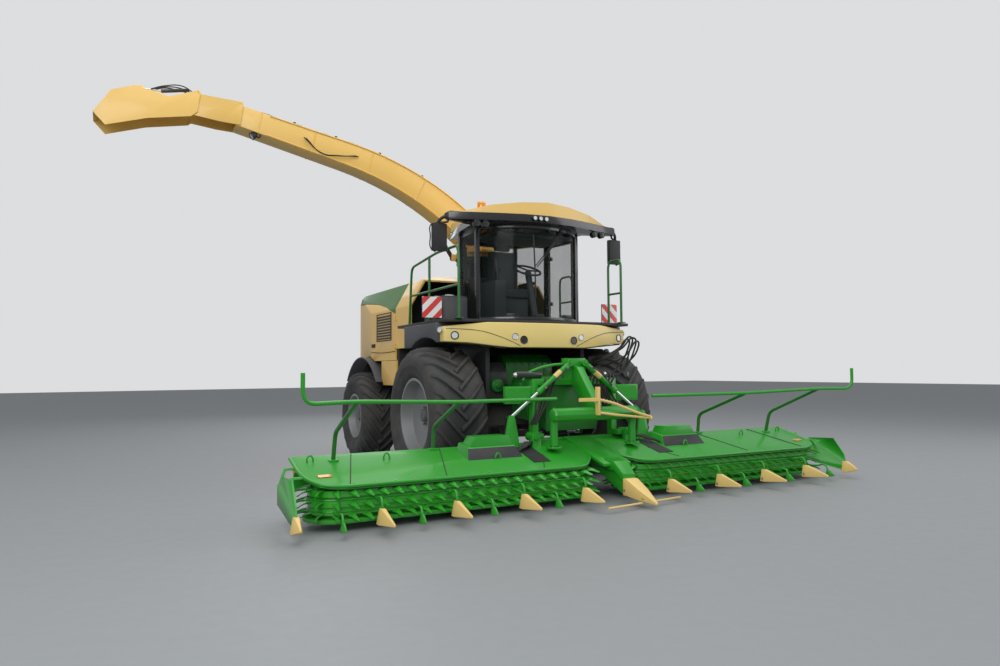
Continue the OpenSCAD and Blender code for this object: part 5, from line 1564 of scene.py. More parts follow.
@dataclass
class Underframe:
    """The axles, drive and frame, with their bolts and hoses."""

    def build(self) -> None:
        """Gives the plain nodes their finish and adds what bolts to them."""
        for node, finish in (("chassis_frame", FRAME_BLACK), ("front_axle", AXLE_GREY),
                             ("rear_axle", AXLE_GREY),
                             ("engine_block", CAST_GREY), ("crop_channel", FRAME_BLACK)):
            redress(node, finish)
        for side in Side:
            reworked("knuckle_" + side.word, AXLE_GREY, "axle_grey", 0.004)
        drum = Work.copy_of("drum_case", "drum_housing", 0.008)
        drum.paint(DARK_GREEN)
        drum.paint(FRAME_BLACK, lambda c, n: abs(c.x) > 0.425)
        drum.done("machine", "header_green", None, 32, ["drum_housing"])
        self.drum_fittings()
        self.driveline()
        self.hoses()

    def drum_fittings(self) -> None:
        """Ribs, bolts and gearbox covers on the drum housing."""
        parts = []
        for x in (-0.25, 0.0, 0.25):
            rib = Work.box("rib", (x - 0.012, -0.262, 1.14), (x + 0.012, -0.245, 1.60))
            parts.append(rib.rounded_edges(0.004, 1))
        for i in range(7):
            parts.append(hex_bolt("bolt", (-0.33 + i * 0.11, -0.252, 1.62), (0, -1, 0), 0.012))
        for s in (-1, 1):
            cover = Work.rod("cover", (s * 0.60, -0.372, 1.32), (s * 0.60, -0.43, 1.32), 0.105, 36, 0.085)
            cover.choose(Part.FACES, lambda c, n: n.y < -0.9)
            cover.inset(0.02, 0.006).inset(0.02).extrude(by=(0, -0.02, 0), size=(0.8, 1, 0.8),
                                                         about=(s * 0.60, -0.43, 1.32))
            parts.append(cover.rounded_edges(0.004, 2))
            for k in range(8):
                a = math.pi * k / 4
                parts.append(hex_bolt("bolt", (s * 0.60 + 0.085 * math.cos(a),
                                               -0.392, 1.32 + 0.085 * math.sin(a)),
                                      (0, -1, 0), 0.008))
        join_all(parts, "drum_fittings").done("machine", "header_green", DARK_GREEN)

    def driveline(self) -> None:
        """The drive shafts to the wheels, their boots, the track rods and the axle's case."""
        parts = []
        for s in (-1, 1):
            shaft = Work.rod("shaft", (s * 0.15, 3.17, 0.62), (s * 0.62, 3.17, 0.70), 0.035, 20)
            parts.append(shaft.rounded_edges(0.004, 1))
            for x in (0.20, 0.56):
                boot = Work.rod("boot", (s * x, 3.17, 0.62 + (x - 0.15) * 0.17),
                                (s * (x + 0.06), 3.17, 0.63 + (x - 0.09) * 0.17), 0.052, 20, 0.042)
                parts.append(boot)
            rod = Work.rod("track_rod", (s * 0.10, 3.50, 0.76), (s * 0.78, 3.50, 0.76), 0.022, 16)
            parts.append(rod)
        case = Work.rod("case", (0, 3.02, 0.72), (0, 3.14, 0.72), 0.15, 32, 0.17)
        case.choose(Part.FACES, lambda c, n: n.y < -0.9)
        case.inset(0.03).extrude(by=(0, -0.05, 0), size=(0.6, 1, 0.6), about=(0, 3.0, 0.72))
        parts.append(case.rounded_edges(0.008, 2))
        join_all(parts, "axle_drives").done("machine", "axle_grey", AXLE_GREY)

    def hoses(self) -> None:
        """The hydraulic hoses that loop from the machine's front to its left side."""
        hoses = []
        for i, (out, drop) in enumerate(((0.30, 0.0), (0.36, 0.04), (0.25, 0.07), (0.32, -0.05))):
            x = 0.88 + 0.05 * i
            hoses.append(Work.pipe("hose", [
                (x, -0.46, 1.62 + drop), (x + 0.02, -0.72, 1.66 + drop), (x + out * 0.5, -0.92, 1.78 + drop),
                (x + out, -0.98, 1.95 + drop * 0.5), (x + out * 1.15, -0.90, 1.78),
                (x + out * 0.8, -0.80, 1.55 - drop),
                (x + out * 0.2, -0.82, 1.44), (0.70 + 0.03 * i, -0.66, 1.40)], 0.013, 0, 3))
        clamp = Work.box("clamp", (0.86, -0.475, 1.56), (1.08, -0.452, 1.72))
        hoses.append(clamp.rounded_edges(0.006, 2))
        for i in range(4):
            hoses.append(Work.rod("union", (0.88 + 0.05 * i, -0.45, 1.62), (0.88 + 0.05 * i, -0.53, 1.62),
                                  0.019, 6))
        join_all(hoses, "front_hoses").done("machine", "chassis_black", HOSE_RUBBER, 45)
        apron = Work.box("hose_apron", (-0.74, 0.66, 1.62), (0.74, 0.672, 2.155))
        apron.choose(Part.FACES, lambda c, n: n.y < -0.9)
        apron.inset(0.05).extrude(by=(0, -0.012, 0), size=(0.98, 1, 0.95), about=(0, 0.66, 1.89))
        apron.rounded_edges(0.004).done("machine", "chassis_black", BLACK_PLASTIC)


@dataclass
class Chute:
    """The discharge chute with its flaps, rams, hoses and lamp."""

    y: float = 1.40
    half: float = 0.18
    reach: float = 3.74
    depth: tuple = (0.440, 0.285)
    slope: float = math.radians(12)
    steepest: float = math.radians(40)
    start: float = 0.1992
    bend_end: float = 2.1996
    bend_r: float = 4.6
    bend_centre: tuple = (3.156, 0.235)
    bead_end: float = 0.40

    def edge(self, u: float, side: float, out: float = 0.0) -> tuple[float, float]:
        """A point on the chute's upper or lower edge, u out from the turret's axis."""
        centre_u, centre_z = self.bend_centre
        turn = math.asin(min(max((centre_u - u) / self.bend_r, math.sin(self.slope)), math.sin(self.steepest)))
        rise = max(0.0, u - self.bend_end) * math.tan(self.slope)
        deep, shallow = self.depth
        depth = deep + (shallow - deep) * (u - self.start) / (self.reach - self.start)
        h = side * (depth / 2 + out)
        return -(u - h * math.sin(turn)), centre_z + self.bend_r * math.cos(turn) + rise + h * math.cos(turn)

    def run(self, first: float, last: float, side: float, out: float, y: float, steps: int = 8) -> list[Point]:
        """Points along an edge of the chute."""
        places = (self.edge(first + (last - first) * i / steps, side, out) for i in range(steps + 1))
        return [(x, y, z) for x, z in places]

    def build(self) -> None:
        """Rounds the chute's parts and fits what runs along it."""
        for node in ("chute_turret", "chute_boom", "chute_flap_inner", "chute_flap_outer"):
            reworked(node, YELLOW, "bodywork_yellow", 0.005, 30)
        reworked("chute_lift_barrel", RAM_BLACK, "ram_black", 0.004)
        redress("chute_lift_rod", CHROME)
        self.beads()
        self.hoses()
        self.turret_ring()
        self.work_lamp()
        self.flap_cylinder()

    def beads(self) -> None:
        """The flanges along the chute's edges and its stiffening ribs."""
        parts = []
        for s in (-1, 1):
            y = self.y + s * (self.half + 0.004)
            for edge, radius in ((1, 0.011), (-1, 0.009)):
                line = self.run(0.32, self.reach - self.bead_end, edge, -0.012, y)
                parts.append(Work.pipe("bead", line, radius, 0, 3))
        for u in (1.05, 1.85, 2.70, 3.45):
            (xa, za), (xb, zb) = self.edge(u, 1, 0.004), self.edge(u, -1, 0.004)
            for s in (-1, 1):
                y = self.y + s * (self.half + 0.002)
                parts.append(Work.pipe("rib", [(xa, y, za), ((xa + xb) / 2, y, (za + zb) / 2), (xb, y, zb)],
                                       0.008, 0, 2))
            parts.append(Work.pipe("rib", [(xa, self.y - self.half, za), (xa, self.y, za),
                                           (xa, self.y + self.half, za)],
                                   0.008, 0, 2))
        join_all(parts, "chute_beads").done("chute_boom", "bodywork_yellow", YELLOW, 45)

    def hoses(self) -> None:
        """Hoses and wires along the chute's near side and top, with their clips."""
        parts = []
        for i, (first, last) in enumerate(((0.75, 3.55), (0.95, 3.40), (2.30, 3.62))):
            line = self.run(first, last, 1, 0.022 + 0.006 * i, self.y - 0.10 + 0.035 * i, 14)
            line = [(x, y, z + 0.010 * math.sin(3.1 * k + i)) for k, (x, y, z) in enumerate(line)]
            parts.append(Work.pipe("hose", line, 0.009, 0, 2))
        for u in (1.10, 1.75, 2.40, 3.00):
            x, z = self.edge(u, 1, 0.02)
            parts.append(Work.box("clip", (x - 0.018, self.y - 0.13, z - 0.02),
                                  (x + 0.018, self.y - 0.01, z + 0.022))
                         .rounded_edges(0.005, 2))
        for shift, sag in ((0.0, 0.10), (0.03, 0.13)):
            a, b, c = self.edge(2.05 + shift, 0, 0), self.edge(2.45, -0.6, 0), self.edge(2.85 - shift, 0, 0)
            y = self.y - self.half - 0.03
            parts.append(Work.pipe("loop", [(a[0], y, a[1]), (b[0] + 0.12, y - 0.03, b[1] - sag * 0.2),
                                            (b[0] - 0.12, y - 0.03, b[1] - sag * 0.2), (c[0], y, c[1])],
                                            0.008, 0, 2))
        join_all(parts, "chute_hoses").done("chute_boom", "chassis_black", HOSE_RUBBER, 45)

    def turret_ring(self) -> None:
        """The slewing ring's rim, its bolts and the flange above it."""
        ring = Work.rod("ring", (0, self.y, 3.298), (0, self.y, 3.335), 0.345, 72)
        ring.rounded_edges(0.004)
        parts = [ring.paint(AXLE_GREY)]
        for k in range(16):
            a = math.tau * k / 16
            parts.append(hex_bolt("bolt", (0.332 * math.cos(a), self.y + 0.332 * math.sin(a), 3.335),
                                  (0, 0, 1), 0.008)
                         .paint(STEEL))
        flange = Work.rod("flange", (0, self.y, 3.40), (0, self.y, 3.425), 0.338, 72)
        parts.append(flange.rounded_edges(0.004).paint(YELLOW))
        join_all(parts, "turret_ring").done("chute_turret", "bodywork_yellow", None, 40)

    def work_lamp(self) -> None:
        """The lamp under the chute near its mouth."""
        x, z = self.edge(3.45, -1, 0.0)
        lamp = round_lamp("lamp", (x - 0.075, self.y - 0.12, z - 0.055), (-0.8, 0, -0.6), 0.055, 0.08)
        arm = Work.pipe("arm", [(x + 0.05, self.y - 0.12, z + 0.006), (x + 0.03, self.y - 0.12, z - 0.05),
                                (x - 0.02, self.y - 0.12, z - 0.03)], 0.010, 0, 2)
        join_all([lamp, arm.paint(BLACK_PLASTIC)], "chute_lamp").done("chute_boom", "trim_grey")

    def flap_cylinder(self) -> None:
        """The small cylinder that stands on the outermost flap, and its hoses."""
        x, z = self.edge(self.reach, 0, 0)
        across, up = math.cos(self.slope), math.sin(self.slope)

        def place(u: float, v: float) -> tuple[float, float]:
            return x - u * across + v * up, z + u * up + v * across

        (ax, az), (bx, bz), (cx, cz) = place(0.66, 0.165), place(0.98, 0.02), place(1.20, -0.03)
        parts = [Work.rod("ram", (ax, self.y, az), (bx, self.y, bz),
                          0.024, 20).rounded_edges(0.004).paint(RAM_BLACK),
                 Work.rod("rod", (bx, self.y, bz), (cx, self.y, cz), 0.012, 16).paint(CHROME)]
        for i in range(3):
            y = self.y - 0.06 + 0.045 * i
            u = [place(0.60, 0.13), place(0.75, 0.17 - 0.02 * i), place(0.95, 0.10), place(1.10, 0.0)]
            parts.append(Work.pipe("hose", [(p, y + 0.015 * k, q) for k, (p, q) in enumerate(u)], 0.008, 0, 2)
                         .paint(HOSE_RUBBER))
        join_all(parts, "flap_cylinder").done("chute_flap_outer", "ram_black", None, 40)


@dataclass
class Header:
    """The maize header: its frame, folding halves, tines and dividers."""

    front_y: float = -2.24
    rear_y: float = -1.43
    front_z: float = 0.44
    rear_z: float = 0.65
    belt_y: float = -1.905
    belt_r: float = 0.285
    ends: tuple = (0.56, 3.23)
    tines: int = 48
    tiers: tuple = (0.150, 0.262, 0.374)
    pitch: float = 0.778
    first: float = 0.611

    def deck_z(self, y: float) -> float:
        """The height of the deck's top at a place along the machine."""
        return self.front_z + (self.rear_z - self.front_z) * (y - self.front_y) / (self.rear_y - self.front_y)

    def build(self) -> None:
        """Builds the frame and one half, and mirrors that half."""
        self.feeder()
        self.frame_parts()
        self.frame_hoses()
        self.centre_divider()
        halves = [(self.deck_trim(), "deck_trim", ()), (self.collector(), "tine_belt", ("collector",)),
                  (self.dividers(), "divider", ("dividers", "guard_bars"))]
        for side in Side:
            deck = Work.copy_of("deck_" + side.word, "header_deck_" + side.word, 0.007)
            deck.done("header_half_" + side.word, "header_green", GREEN, 35, ["header_deck_" + side.word])
            self.fold_ram(side)
            for work, name, nodes in halves:
                shown = [node + "_" + side.word for node in nodes]
                twin = work.mirrored(name + "_" + side.word) if side is Side.RIGHT else work
                twin.obj.name = name + "_" + side.word
                slot = {"tine_belt": "tine_steel"}.get(name, "header_green")
                twin.done("header_half_" + side.word, slot, None, 40, shown)

    def feeder(self) -> None:
        """The intake housing with its ribs and the lift cylinders."""
        reworked("intake_housing", DARK_GREEN, "header_green", 0.008)
        parts = []
        for s in (-1, 1):
            for y in (-0.62, -0.86, -1.10):
                rib = Work.box("rib", (s * 0.395 - 0.012, y - 0.012, 0.92),
                               (s * 0.395 + 0.012, y + 0.012, 1.36))
                parts.append(rib.rounded_edges(0.004, 1))
            parts.append(hex_bolt("bolt", (s * 0.43, -0.30, 1.25), (s, 0, 0), 0.035))
        join_all(parts, "intake_ribs").done("header", "header_green", DARK_GREEN)
        reworked("header_lift_barrels", RAM_BLACK, "ram_black", 0.004)
        redress("header_lift_rods", CHROME)

    def frame_parts(self) -> None:
        """The header's frame: the beam, posts, feet and brackets in two colours."""
        body = Work.copy_of("header_frame_body", "header_frame", 0.006)
        beam = body.split_off(
            "beam", lambda c, n: abs(c.x) < 0.625 and -1.91 < c.y < -1.74 and 0.91 < c.z < 1.07)
        object_mode()
        bpy.data.objects.remove(beam.obj)
        cap = body.split_off("cap", inside((-0.10, -3.0, 0.0), (0.10, -2.705, 0.2)))
        object_mode()
        bpy.data.objects.remove(cap.obj)
        body.paint(GREEN)
        body.paint(STRAW_YELLOW, lambda c, n: c.y < -1.9005 and c.z > 0.88 or c.y < -2.69)
        body.paint(RAM_BLACK, lambda c, n: abs(c.x) > 0.495 and c.z > 1.41 and -1.40 < c.y < -1.29)
        body.done("header", "header_green", None, 35, ["header_frame"])
        beam = Work.rod("beam", (-0.60, -1.825, 0.992), (0.60, -1.825, 0.992), 0.083, 8)
        parts = [beam.rounded_edges(0.006)]
        for s in (-1, 1):
            cap = Work.rod("cap", (s * 0.60, -1.825, 0.992), (s * 0.632, -1.825, 0.992), 0.094, 8, 0.070)
            post = Work.pipe("post", [(s * 0.583, -1.785, 0.63), (s * 0.583, -1.785, 0.86),
                                      (s * 0.583, -1.80, 0.95), (s * 0.575, -1.825, 0.99)], 0.047, 0.06, 5)
            foot = Work.rod("foot", (s * 0.583, -1.785, 0.598), (s * 0.583, -1.785, 0.622), 0.098, 8)
            parts += [cap.rounded_edges(0.005), post, foot.rounded_edges(0.004)]
            for k in range(4):
                a = math.pi * (0.25 + k / 2)
                parts.append(hex_bolt("bolt", (s * 0.583 + 0.072 * math.cos(a),
                                               -1.785 + 0.072 * math.sin(a), 0.622),
                                      (0, 0, 1), 0.010))
            for z in (1.16, 1.28):
                for x in (0.68, 0.78, 0.90):
                    parts.append(hex_bolt("bolt", (s * x, -1.385, z), (0, -1, 0), 0.010))
            parts.append(Work.box("plate", (min(s * 0.662, s * 0.985), -1.392, 1.135),
                                  (max(s * 0.662, s * 0.985), -1.384, 1.315)).rounded_edges(0.003, 1))
        tube = Work.pipe("tube", [(-0.76, -1.36, 1.40), (-0.72, -1.36, 1.46), (-0.55, -1.36, 1.54),
                                  (-0.35, -1.36, 1.585), (-0.17, -1.36, 1.60)], 0.018, 0, 3)
        join_all(parts + [tube], "header_beam").done("header", "header_green", GREEN, 35)
        rod = Work.pipe("rod", [(-0.045, -1.945, 1.17), (0.20, -1.95, 1.11), (0.45, -1.955, 1.02),
                                (0.66, -1.955, 0.955), (0.745, -1.95, 0.935)], 0.016, 0, 3)
        knob = Work.rod("knob", (0.735, -1.95, 0.917), (0.76, -1.95, 0.917), 0.03, 20)
        join_all([rod, knob.rounded_edges(0.006)],
                 "header_stay").done("header", "header_green", STRAW_YELLOW, 40)

    def frame_hoses(self) -> None:
        """The hoses, couplings and ends of the accumulator on the header's frame."""
        rubber, metal = [], []
        for i in range(7):
            x = 0.26 + 0.055 * i
            z = 1.37 - 0.012 * i
            rubber.append(Work.pipe("hose", [
                (x + 0.05, -1.27, z + 0.16 + 0.02 * (i % 3)), (x + 0.02, -1.392, z + 0.13),
                (x - 0.04, -1.398, z + 0.02),
                (x - 0.02, -1.398, z - 0.10 - 0.02 * (i % 2)), (x + 0.06, -1.394, z - 0.20)], 0.012, 0, 3))
            metal.append(Work.rod("union", (x + 0.058, -1.394, z - 0.195), (x + 0.092, -1.39, z - 0.255),
                                  0.017, 6, 0.014))
            metal.append(Work.rod("union", (x + 0.02, -1.393, z + 0.10), (x - 0.02, -1.397, z + 0.04),
                                  0.016, 6))
        for i in range(4):
            rubber.append(Work.pipe("hose", [
                (-0.30 - 0.05 * i, -1.39, 1.42), (-0.36 - 0.05 * i, -1.398, 1.30),
                (-0.44 - 0.05 * i, -1.398, 1.12),
                (-0.52 - 0.03 * i, -1.398, 0.98), (-0.60 - 0.03 * i, -1.398, 0.86)], 0.012, 0, 3))
        for s in (-1, 1):
            for a, b in ((0.50, 0.475), (0.85, 0.885)):
                metal.append(Work.rod("neck", (s * a, -1.345, 1.467), (s * b, -1.345, 1.467), 0.038, 20, 0.018))
        join_all([w.paint(HOSE_RUBBER) for w in rubber] + [w.paint(STEEL) for w in metal], "header_hoses").done(
            "header", "chassis_black", None, 45)

    def centre_divider(self) -> None:
        """The pointed cap on the middle divider."""
        cap = Work.box("centre_cap", (-0.085, -2.50, 0.10), (0.085, -2.44, 0.29))
        cap.choose(Part.FACES, lambda c, n: n.y < -0.9)
        cap.extrude(by=(0, -0.20, -0.08), size=(0.80, 1, 0.62), about=(0, -2.50, 0.17))
        cap.extrude(by=(0, -0.23, -0.035), size=(0.22, 1, 0.22), about=(0, -2.70, 0.06))
        cap.rounded_edges(0.008, 2, 15)
        wedge = Work.box("wedge", (-0.10, -2.30, 0.36), (0.10, -2.24, 0.47))
        wedge.choose(Part.FACES, lambda c, n: n.y > 0.9)
        wedge.extrude(by=(0, 0.42, 0.06), size=(1.5, 1, 0.7), about=(0, -2.24, 0.44))
        wedge.choose(Part.FACES, lambda c, n: n.y < -0.9)
        wedge.extrude(by=(0, -0.15, -0.14), size=(0.82, 1, 0.9), about=(0, -2.3, 0.41))
        wedge.rounded_edges(0.008, 2, 20)
        bolts = [hex_bolt("bolt", (s * 0.086, -2.47, 0.16), (s, 0, 0), 0.009) for s in (-1, 1)]
        join_all([cap.paint(STRAW_YELLOW), wedge.paint(GREEN)] + [b.paint(STEEL) for b in bolts],
                 "centre_divider").done("header", "header_green", None, 35)

    def deck_trim(self) -> Work:
        """What lies on the left half's deck: the bead, cover, seams, eyes and reflectors."""
        line = [(0.2, -1.45), (0.2, -1.98), (0.40, -2.20), (0.53, -2.24), (3.26, -2.24), (3.46, -2.17),
                (3.56, -2.0), (3.59, -1.82), (3.59, -1.45)]
        on = lambda x, y, up=0.0: (x, y, self.deck_z(y) + up)
        bead = Work.pipe("bead", [on(x, y, -0.008) for x, y in line], 0.017, 0.10, 4).paint(GREEN)
        low = Work.pipe("low", [on(x * 0.995 + 0.005, y + 0.004, -0.034) for x, y in line[1:-1]],
                        0.010, 0.10, 3)
        parts = [bead, low.paint(DARK_GREEN)]
        cover = Work.box("cover", (1.04, -1.76, 0.55), (1.76, -1.50, 0.668))
        cover.choose(Part.POINTS, lambda p: p.z > 0.6).stretch((0.84, 1, 1), (1.40, 0, 0))
        cover.choose(Part.POINTS, lambda p: p.z < 0.6 and p.y < -1.7).shift((0, -0.13, -0.05))
        cover.choose(Part.POINTS, lambda p: p.z > 0.6 and p.y > -1.6).shift((0, 0, 0.04))
        cover.rounded_edges(0.014, 3)
        cover.paint(GREEN)
        cover.paint(BLACK_PLASTIC, lambda c, n: n.y < -0.45 and c.z < 0.655)
        parts.append(cover)
        for a, b in (((1.92, -1.46), (2.16, -2.20)), ((0.92, -1.50), (0.78, -1.86)),
                     ((0.78, -1.86), (0.98, -2.20)), ((2.95, -1.46), (3.18, -2.21))):
            parts.append(Work.pipe("seam", [on(*a, 0.002), on((a[0] + b[0]) / 2, (a[1] + b[1]) / 2, 0.002),
                                            on(*b, 0.002)], 0.005, 0, 2).paint(BLACK_PLASTIC))
        strip = Work.box("strip", (0.80, -2.06, 0), (1.02, -1.56, 0.006))
        strip.choose(Part.POINTS, lambda p: True)
        strip.turned(math.atan2(self.rear_z - self.front_z, self.rear_y - self.front_y), "X", (0, -1.81, 0))
        strip.shift((0, 0, self.deck_z(-1.81) + 0.001))
        strip.choose(Part.POINTS, lambda p: p.y > -1.7).shift((-0.02, 0, 0))
        parts.append(strip.paint(BLACK_PLASTIC))
        for x, y in ((1.386, -1.874), (2.62, -1.66), (3.42, -1.60)):
            z = self.deck_z(y)
            parts.append(Work.pipe("eye", [(x - 0.028, y, z - 0.01), (x - 0.03, y, z + 0.035),
                                           (x, y, z + 0.065),
                                           (x + 0.03, y, z + 0.035), (x + 0.028, y, z - 0.01)],
                                           0.009, 0, 3).paint(GREEN))
        for i in range(4):
            parts.append(Work.pipe("hose", [on(0.72 + 0.03 * i, -1.52, 0.03), on(0.80 + 0.03 * i, -1.62, 0.07),
                                            on(0.93 + 0.02 * i, -1.70, 0.05), on(1.05, -1.74 - 0.01 * i, 0.03)],
                                   0.012, 0, 2).paint(HOSE_RUBBER))
        for i in range(13):
            x = 0.62 + i * 0.21
            parts.append(hex_bolt("bolt", on(x, -2.205, 0.0), (0, -0.25, 0.97), 0.007).paint(STEEL))
        lamp = Work.box("lamp", (3.585, -1.70, 0.52), (3.604, -1.60, 0.56)).rounded_edges(0.005, 2)
        plate = Work.box("plate", (3.30, -2.02, 0.0), (3.44, -1.96, 0.008)).rounded_edges(0.003, 1)
        plate.choose(Part.POINTS, lambda p: True)
        plate.turned(math.atan2(self.rear_z - self.front_z, self.rear_y - self.front_y), "X", (0, -1.99, 0))
        plate.shift((0, 0, self.deck_z(-1.99) + 0.002))
        # The reflector plate takes the amber lens finish, whose faint glow is painted light on a part that is
        # no lamp.
        parts += [lamp.paint(AMBER), plate.paint(AMBER)]
        return join_all(parts, "deck_trim")

    def tine(self) -> Work:
        """One curved tine, its root at the origin and pointing along +Y."""
        tine = Work.box("tine", (-0.040, -0.012, 0.0), (0.034, 0.012, 0.014))
        tine.choose(Part.POINTS, lambda p: True).turned(math.radians(-24), "Y", (0, 0, 0.007))
        for by, size in (((0.006, 0.045, -0.006), (0.66, 1, 0.7)), ((0.014, 0.045, -0.014), (0.66, 1, 0.8)),
                         ((0.022, 0.038, -0.018), (0.6, 1, 0.8)), ((0.020, 0.020, -0.012), (0.4, 1, 0.6))):
            tine.choose(Part.FACES, lambda c, n: n.y > 0.3 and c.y > max(
                v.co.y for v in tine.obj.data.vertices) - 0.02)
            tine.extrude(by=by, size=size, about=tuple(self.tip(tine)))
        return tine.rounded_edges(0.0025, 1, 40)

    @staticmethod
    def tip(work: Work) -> Vector:
        """The middle of a piece's selected faces."""
        bpy.ops.object.mode_set(mode="OBJECT")
        faces = [f.center.copy() for f in work.obj.data.polygons if f.select]
        bpy.ops.object.mode_set(mode="EDIT")
        return sum(faces, Vector()) / len(faces)

    def collector(self) -> Work:
        """The left half's belt with its three tiers of tines."""
        first, last = self.ends
        run, r = last - first, self.belt_r
        belt = Work.rod("belt", (first, self.belt_y, self.tiers[0]),
                        (first, self.belt_y, self.tiers[2] + 0.012), r, 64)
        belt.choose(Part.POINTS, lambda p: p.x > first + 0.001).shift((run, 0, 0))
        for z in (0.205, 0.225, 0.300, 0.320):
            belt.cut((0, 0, z), (0, 0, 1))
        belt.choose(Part.FACES, lambda c, n: abs(n.z) < 0.1 and (0.205 < c.z < 0.225 or 0.300 < c.z < 0.320))
        bpy.ops.mesh.extrude_region_shrink_fatten(TRANSFORM_OT_shrink_fatten={"value": -0.018})
        belt.tidy().rounded_edges(0.004, 1, 50).paint(TINE_GREEN)
        tine = self.tine().paint(TINE_GREEN)
        whole = 2 * run + math.tau * r
        parts = [belt]
        for i in range(self.tines):
            s = (i + 0.5) * whole / self.tines
            if s < run:
                place, turn = (first + s, self.belt_y - r), -math.pi
            elif s < run + math.pi * r:
                a = -math.pi / 2 + (s - run) / r
                place, turn = (last + r * math.cos(a), self.belt_y + r * math.sin(a)), a - math.pi / 2
            elif s < 2 * run + math.pi * r:
                place, turn = (last - (s - run - math.pi * r), self.belt_y + r), 0.0
            else:
                a = math.pi / 2 + (s - 2 * run - math.pi * r) / r
                place, turn = (first + r * math.cos(a), self.belt_y + r * math.sin(a)), a - math.pi / 2
            for z in self.tiers:
                parts.append(tine.twin("tine", Matrix.Translation((place[0], place[1], z))
                                       @ Matrix.Rotation(turn, 4, "Z")))
        object_mode()
        bpy.data.objects.remove(tine.obj)
        return join_all(parts, "tine_belt")

    def guide(self, z: float) -> Work:
        """The fixed rail between two tiers of tines, which the dividers' rods are welded to."""
        (a, b), r, y = self.ends, self.belt_r + 0.004, self.belt_y
        line = [(b + r * math.sin(math.pi * i / 8), y - r * math.cos(math.pi * i / 8), z) for i in range(9)]
        back = [(a - r * math.sin(math.pi * i / 8), y - r * math.cos(math.pi * i / 8),
                 z) for i in range(8, -1, -1)]
        return Work.pipe("guide", [back[-1]] + line + back[:-1], 0.009, 0.05, 2, True).paint(GREEN)

    def cap(self, x: float) -> Work:
        """A pointed yellow divider cap."""
        cap = Work.box("cap", (x - 0.055, -2.50, 0.085), (x + 0.055, -2.435, 0.235))
        cap.choose(Part.FACES, lambda c, n: n.y < -0.9)
        cap.extrude(by=(0, -0.31, -0.085), size=(0.16, 1, 0.16), about=(x, -2.50, 0.14))
        cap.choose(Part.POINTS, lambda p: p.y > -2.51 and p.z > 0.2).stretch((0.42, 1, 1), (x, 0, 0))
        return cap.rounded_edges(0.007, 2, 15).paint(STRAW_YELLOW)

    def dividers(self) -> Work:
        """The left half's dividers, points, outer end and guard bars."""
        parts = [self.guide(z) for z in (0.298, 0.187)]
        for k in range(4):
            x = self.first + k * self.pitch
            parts.append(Work.pipe("rod", [(x, -2.19, 0.298), (x, -2.32, 0.302), (x, -2.385, 0.325),
                                           (x, -2.43, 0.322),
                                           (x, -2.455, 0.28), (x, -2.462, 0.20)], 0.013, 0, 3).paint(GREEN))
            parts.append(Work.pipe("rod", [(x, -2.449, 0.180), (x, -2.384, 0.122), (x, -2.25, 0.10)],
                                   0.015, 0.05, 3)
                         .paint(GREEN))
            parts += [self.cap(x), hex_bolt("bolt", (x - 0.056, -2.475, 0.125), (-1, 0, 0), 0.009).paint(STEEL)]
            x += self.pitch / 2
            inner = -2.19 if k < 3 else -2.10
            parts.append(Work.pipe("rod", [(x, inner, 0.187), (x, -2.34, 0.190), (x, -2.42, 0.212),
                                           (x, -2.47, 0.205),
                                           (x, -2.495, 0.17), (x, -2.505, 0.125)], 0.012, 0, 3).paint(GREEN))
            point = Work.box("point", (x - 0.032, -2.535, 0.062), (x + 0.032, -2.485, 0.150))
            point.choose(Part.FACES, lambda c, n: n.y < -0.9)
            point.extrude(by=(0, -0.075, -0.025), size=(0.15, 1, 0.15), about=(x, -2.535, 0.085))
            point.choose(Part.POINTS, lambda p: p.z > 0.13).stretch((0.3, 1, 1), (x, 0, 0))
            parts.append(point.rounded_edges(0.004, 1, 15).paint(GREEN))
        node = Work.copy_of("outer", "dividers_left", 0.005)
        outer = node.split_off("outer_end", lambda c, n: c.x > 3.56 and c.z < 0.62 and c.y > -2.485)
        object_mode()
        bpy.data.objects.remove(node.obj)
        outer.paint(GREEN)
        end = self.cap(3.751)
        end.choose(Part.POINTS, lambda p: p.y < -2.6).shift((0, 0.16, 0.01))
        parts.append(end)
        run = [(0.709, -2.034, 1.196), (2.068, -2.283, 1.206), (3.222, -2.491, 1.248), (3.735, -2.620, 1.240),
               (3.735, -2.620, 1.520)]
        parts += [outer, Work.pipe("guard", run, 0.020, 0.16, 4).paint(GREEN)]
        for stay in (((2.0, -1.46, 0.643), (2.0, -1.49, 0.90), (2.052, -2.276, 1.202)),
                     ((3.18, -1.60, 0.606), (3.18, -1.68, 0.90), (3.204, -2.484, 1.244))):
            parts.append(Work.pipe("stay", stay, 0.023, 0.08, 4).paint(DARK_GREEN))
            x, y, z = stay[0]
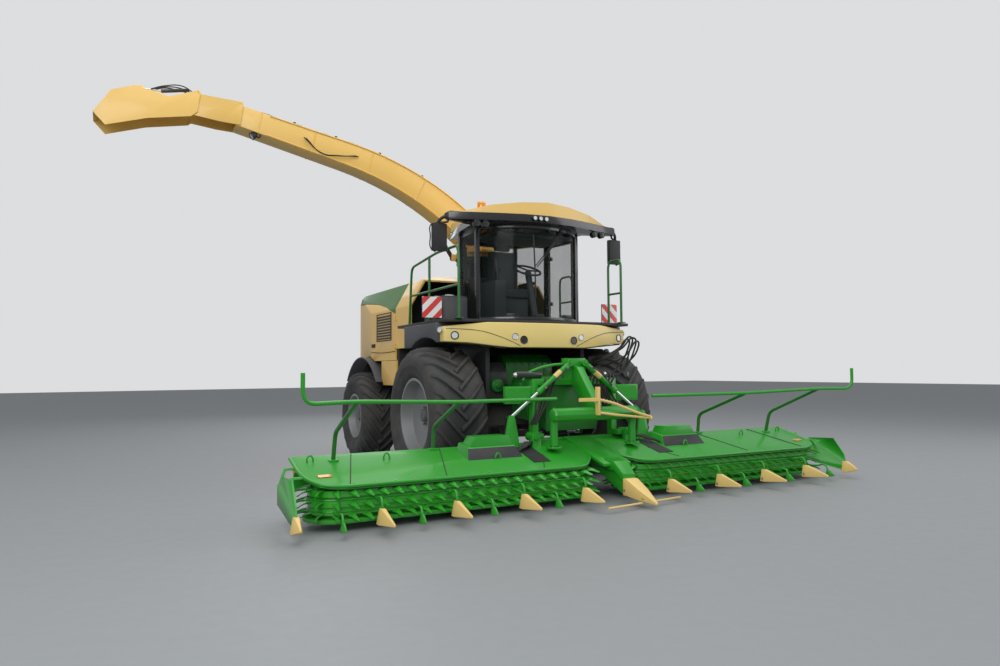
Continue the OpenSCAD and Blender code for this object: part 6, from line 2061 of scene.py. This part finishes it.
            parts.append(Work.box("foot", (x - 0.05, y - 0.04, z - 0.012), (x + 0.05, y + 0.04, z + 0.012))
                         .rounded_edges(0.004).paint(GREEN))
        return join_all(parts, "divider")

    def fold_ram(self, side: Side) -> None:
        """One folding cylinder: the green barrel with its band and unions, and the bright rod."""
        s = side.value
        barrel = Work.copy_of("fold_cylinder_" + side.word, "fold_barrel_" + side.word, 0.003, 1)
        start, end = Vector((s * 0.108, -1.446, 1.616)), Vector((s * 0.995, -1.446, 0.946))
        axis = (end - start).normalized()
        at = lambda d: start + axis * d
        parts = [barrel.paint(GREEN), Work.rod("band", at(0.19), at(0.30), 0.0385, 32).paint(STRAW_YELLOW),
                 Work.rod("gland", at(0.555), at(0.612), 0.043, 32, 0.040).rounded_edges(0.004).paint(GREEN)]
        for d in (0.10, 0.50):
            parts.append(Work.rod("port", at(d), at(d) + Vector((0, -0.058, 0)), 0.016, 6).paint(STEEL))
        hose = Work.pipe("hose", [tuple(at(0.10) + Vector((0, -0.05, 0))),
                                  tuple(at(0.16) + Vector((0, -0.085, 0.01))),
                                  tuple(at(0.40) + Vector((0, -0.075, 0.0))),
                                  tuple(at(0.50) + Vector((0, -0.05, 0)))],
                         0.008, 0, 2)
        join_all(parts + [hose.paint(HOSE_RUBBER)], barrel.obj.name).done(
            "fold_barrel_" + side.word, "ram_black", None, 40, ["fold_barrel_" + side.word])
        redress("fold_rod_" + side.word, CHROME)


def main() -> None:
    """Builds the studio and every part of the machine."""
    Studio().build()
    for side in Side:
        front = Tyre("tyre_front_" + side.word, side, 1.325, 0.0, 0.925, 0.51, 0.78, 22)
        rear = Tyre("tyre_rear_" + side.word, side, 1.215, 3.25, 0.755, 0.385, 0.60, 20)
        front.build()
        rear.build()
        Wheel(side, "front", 1.325, 0.0, 0.925, 0.1412, 0.15).build()
        Wheel(side, "rear", 1.215, 3.25, 0.755, 0.116, 0.15).build()
    for part in (Roof(), LightBeam(), Cab(), Platform(), Bodywork(), Underframe(), Chute(), Header()):
        part.build()


if __name__ == "__main__":
    main()
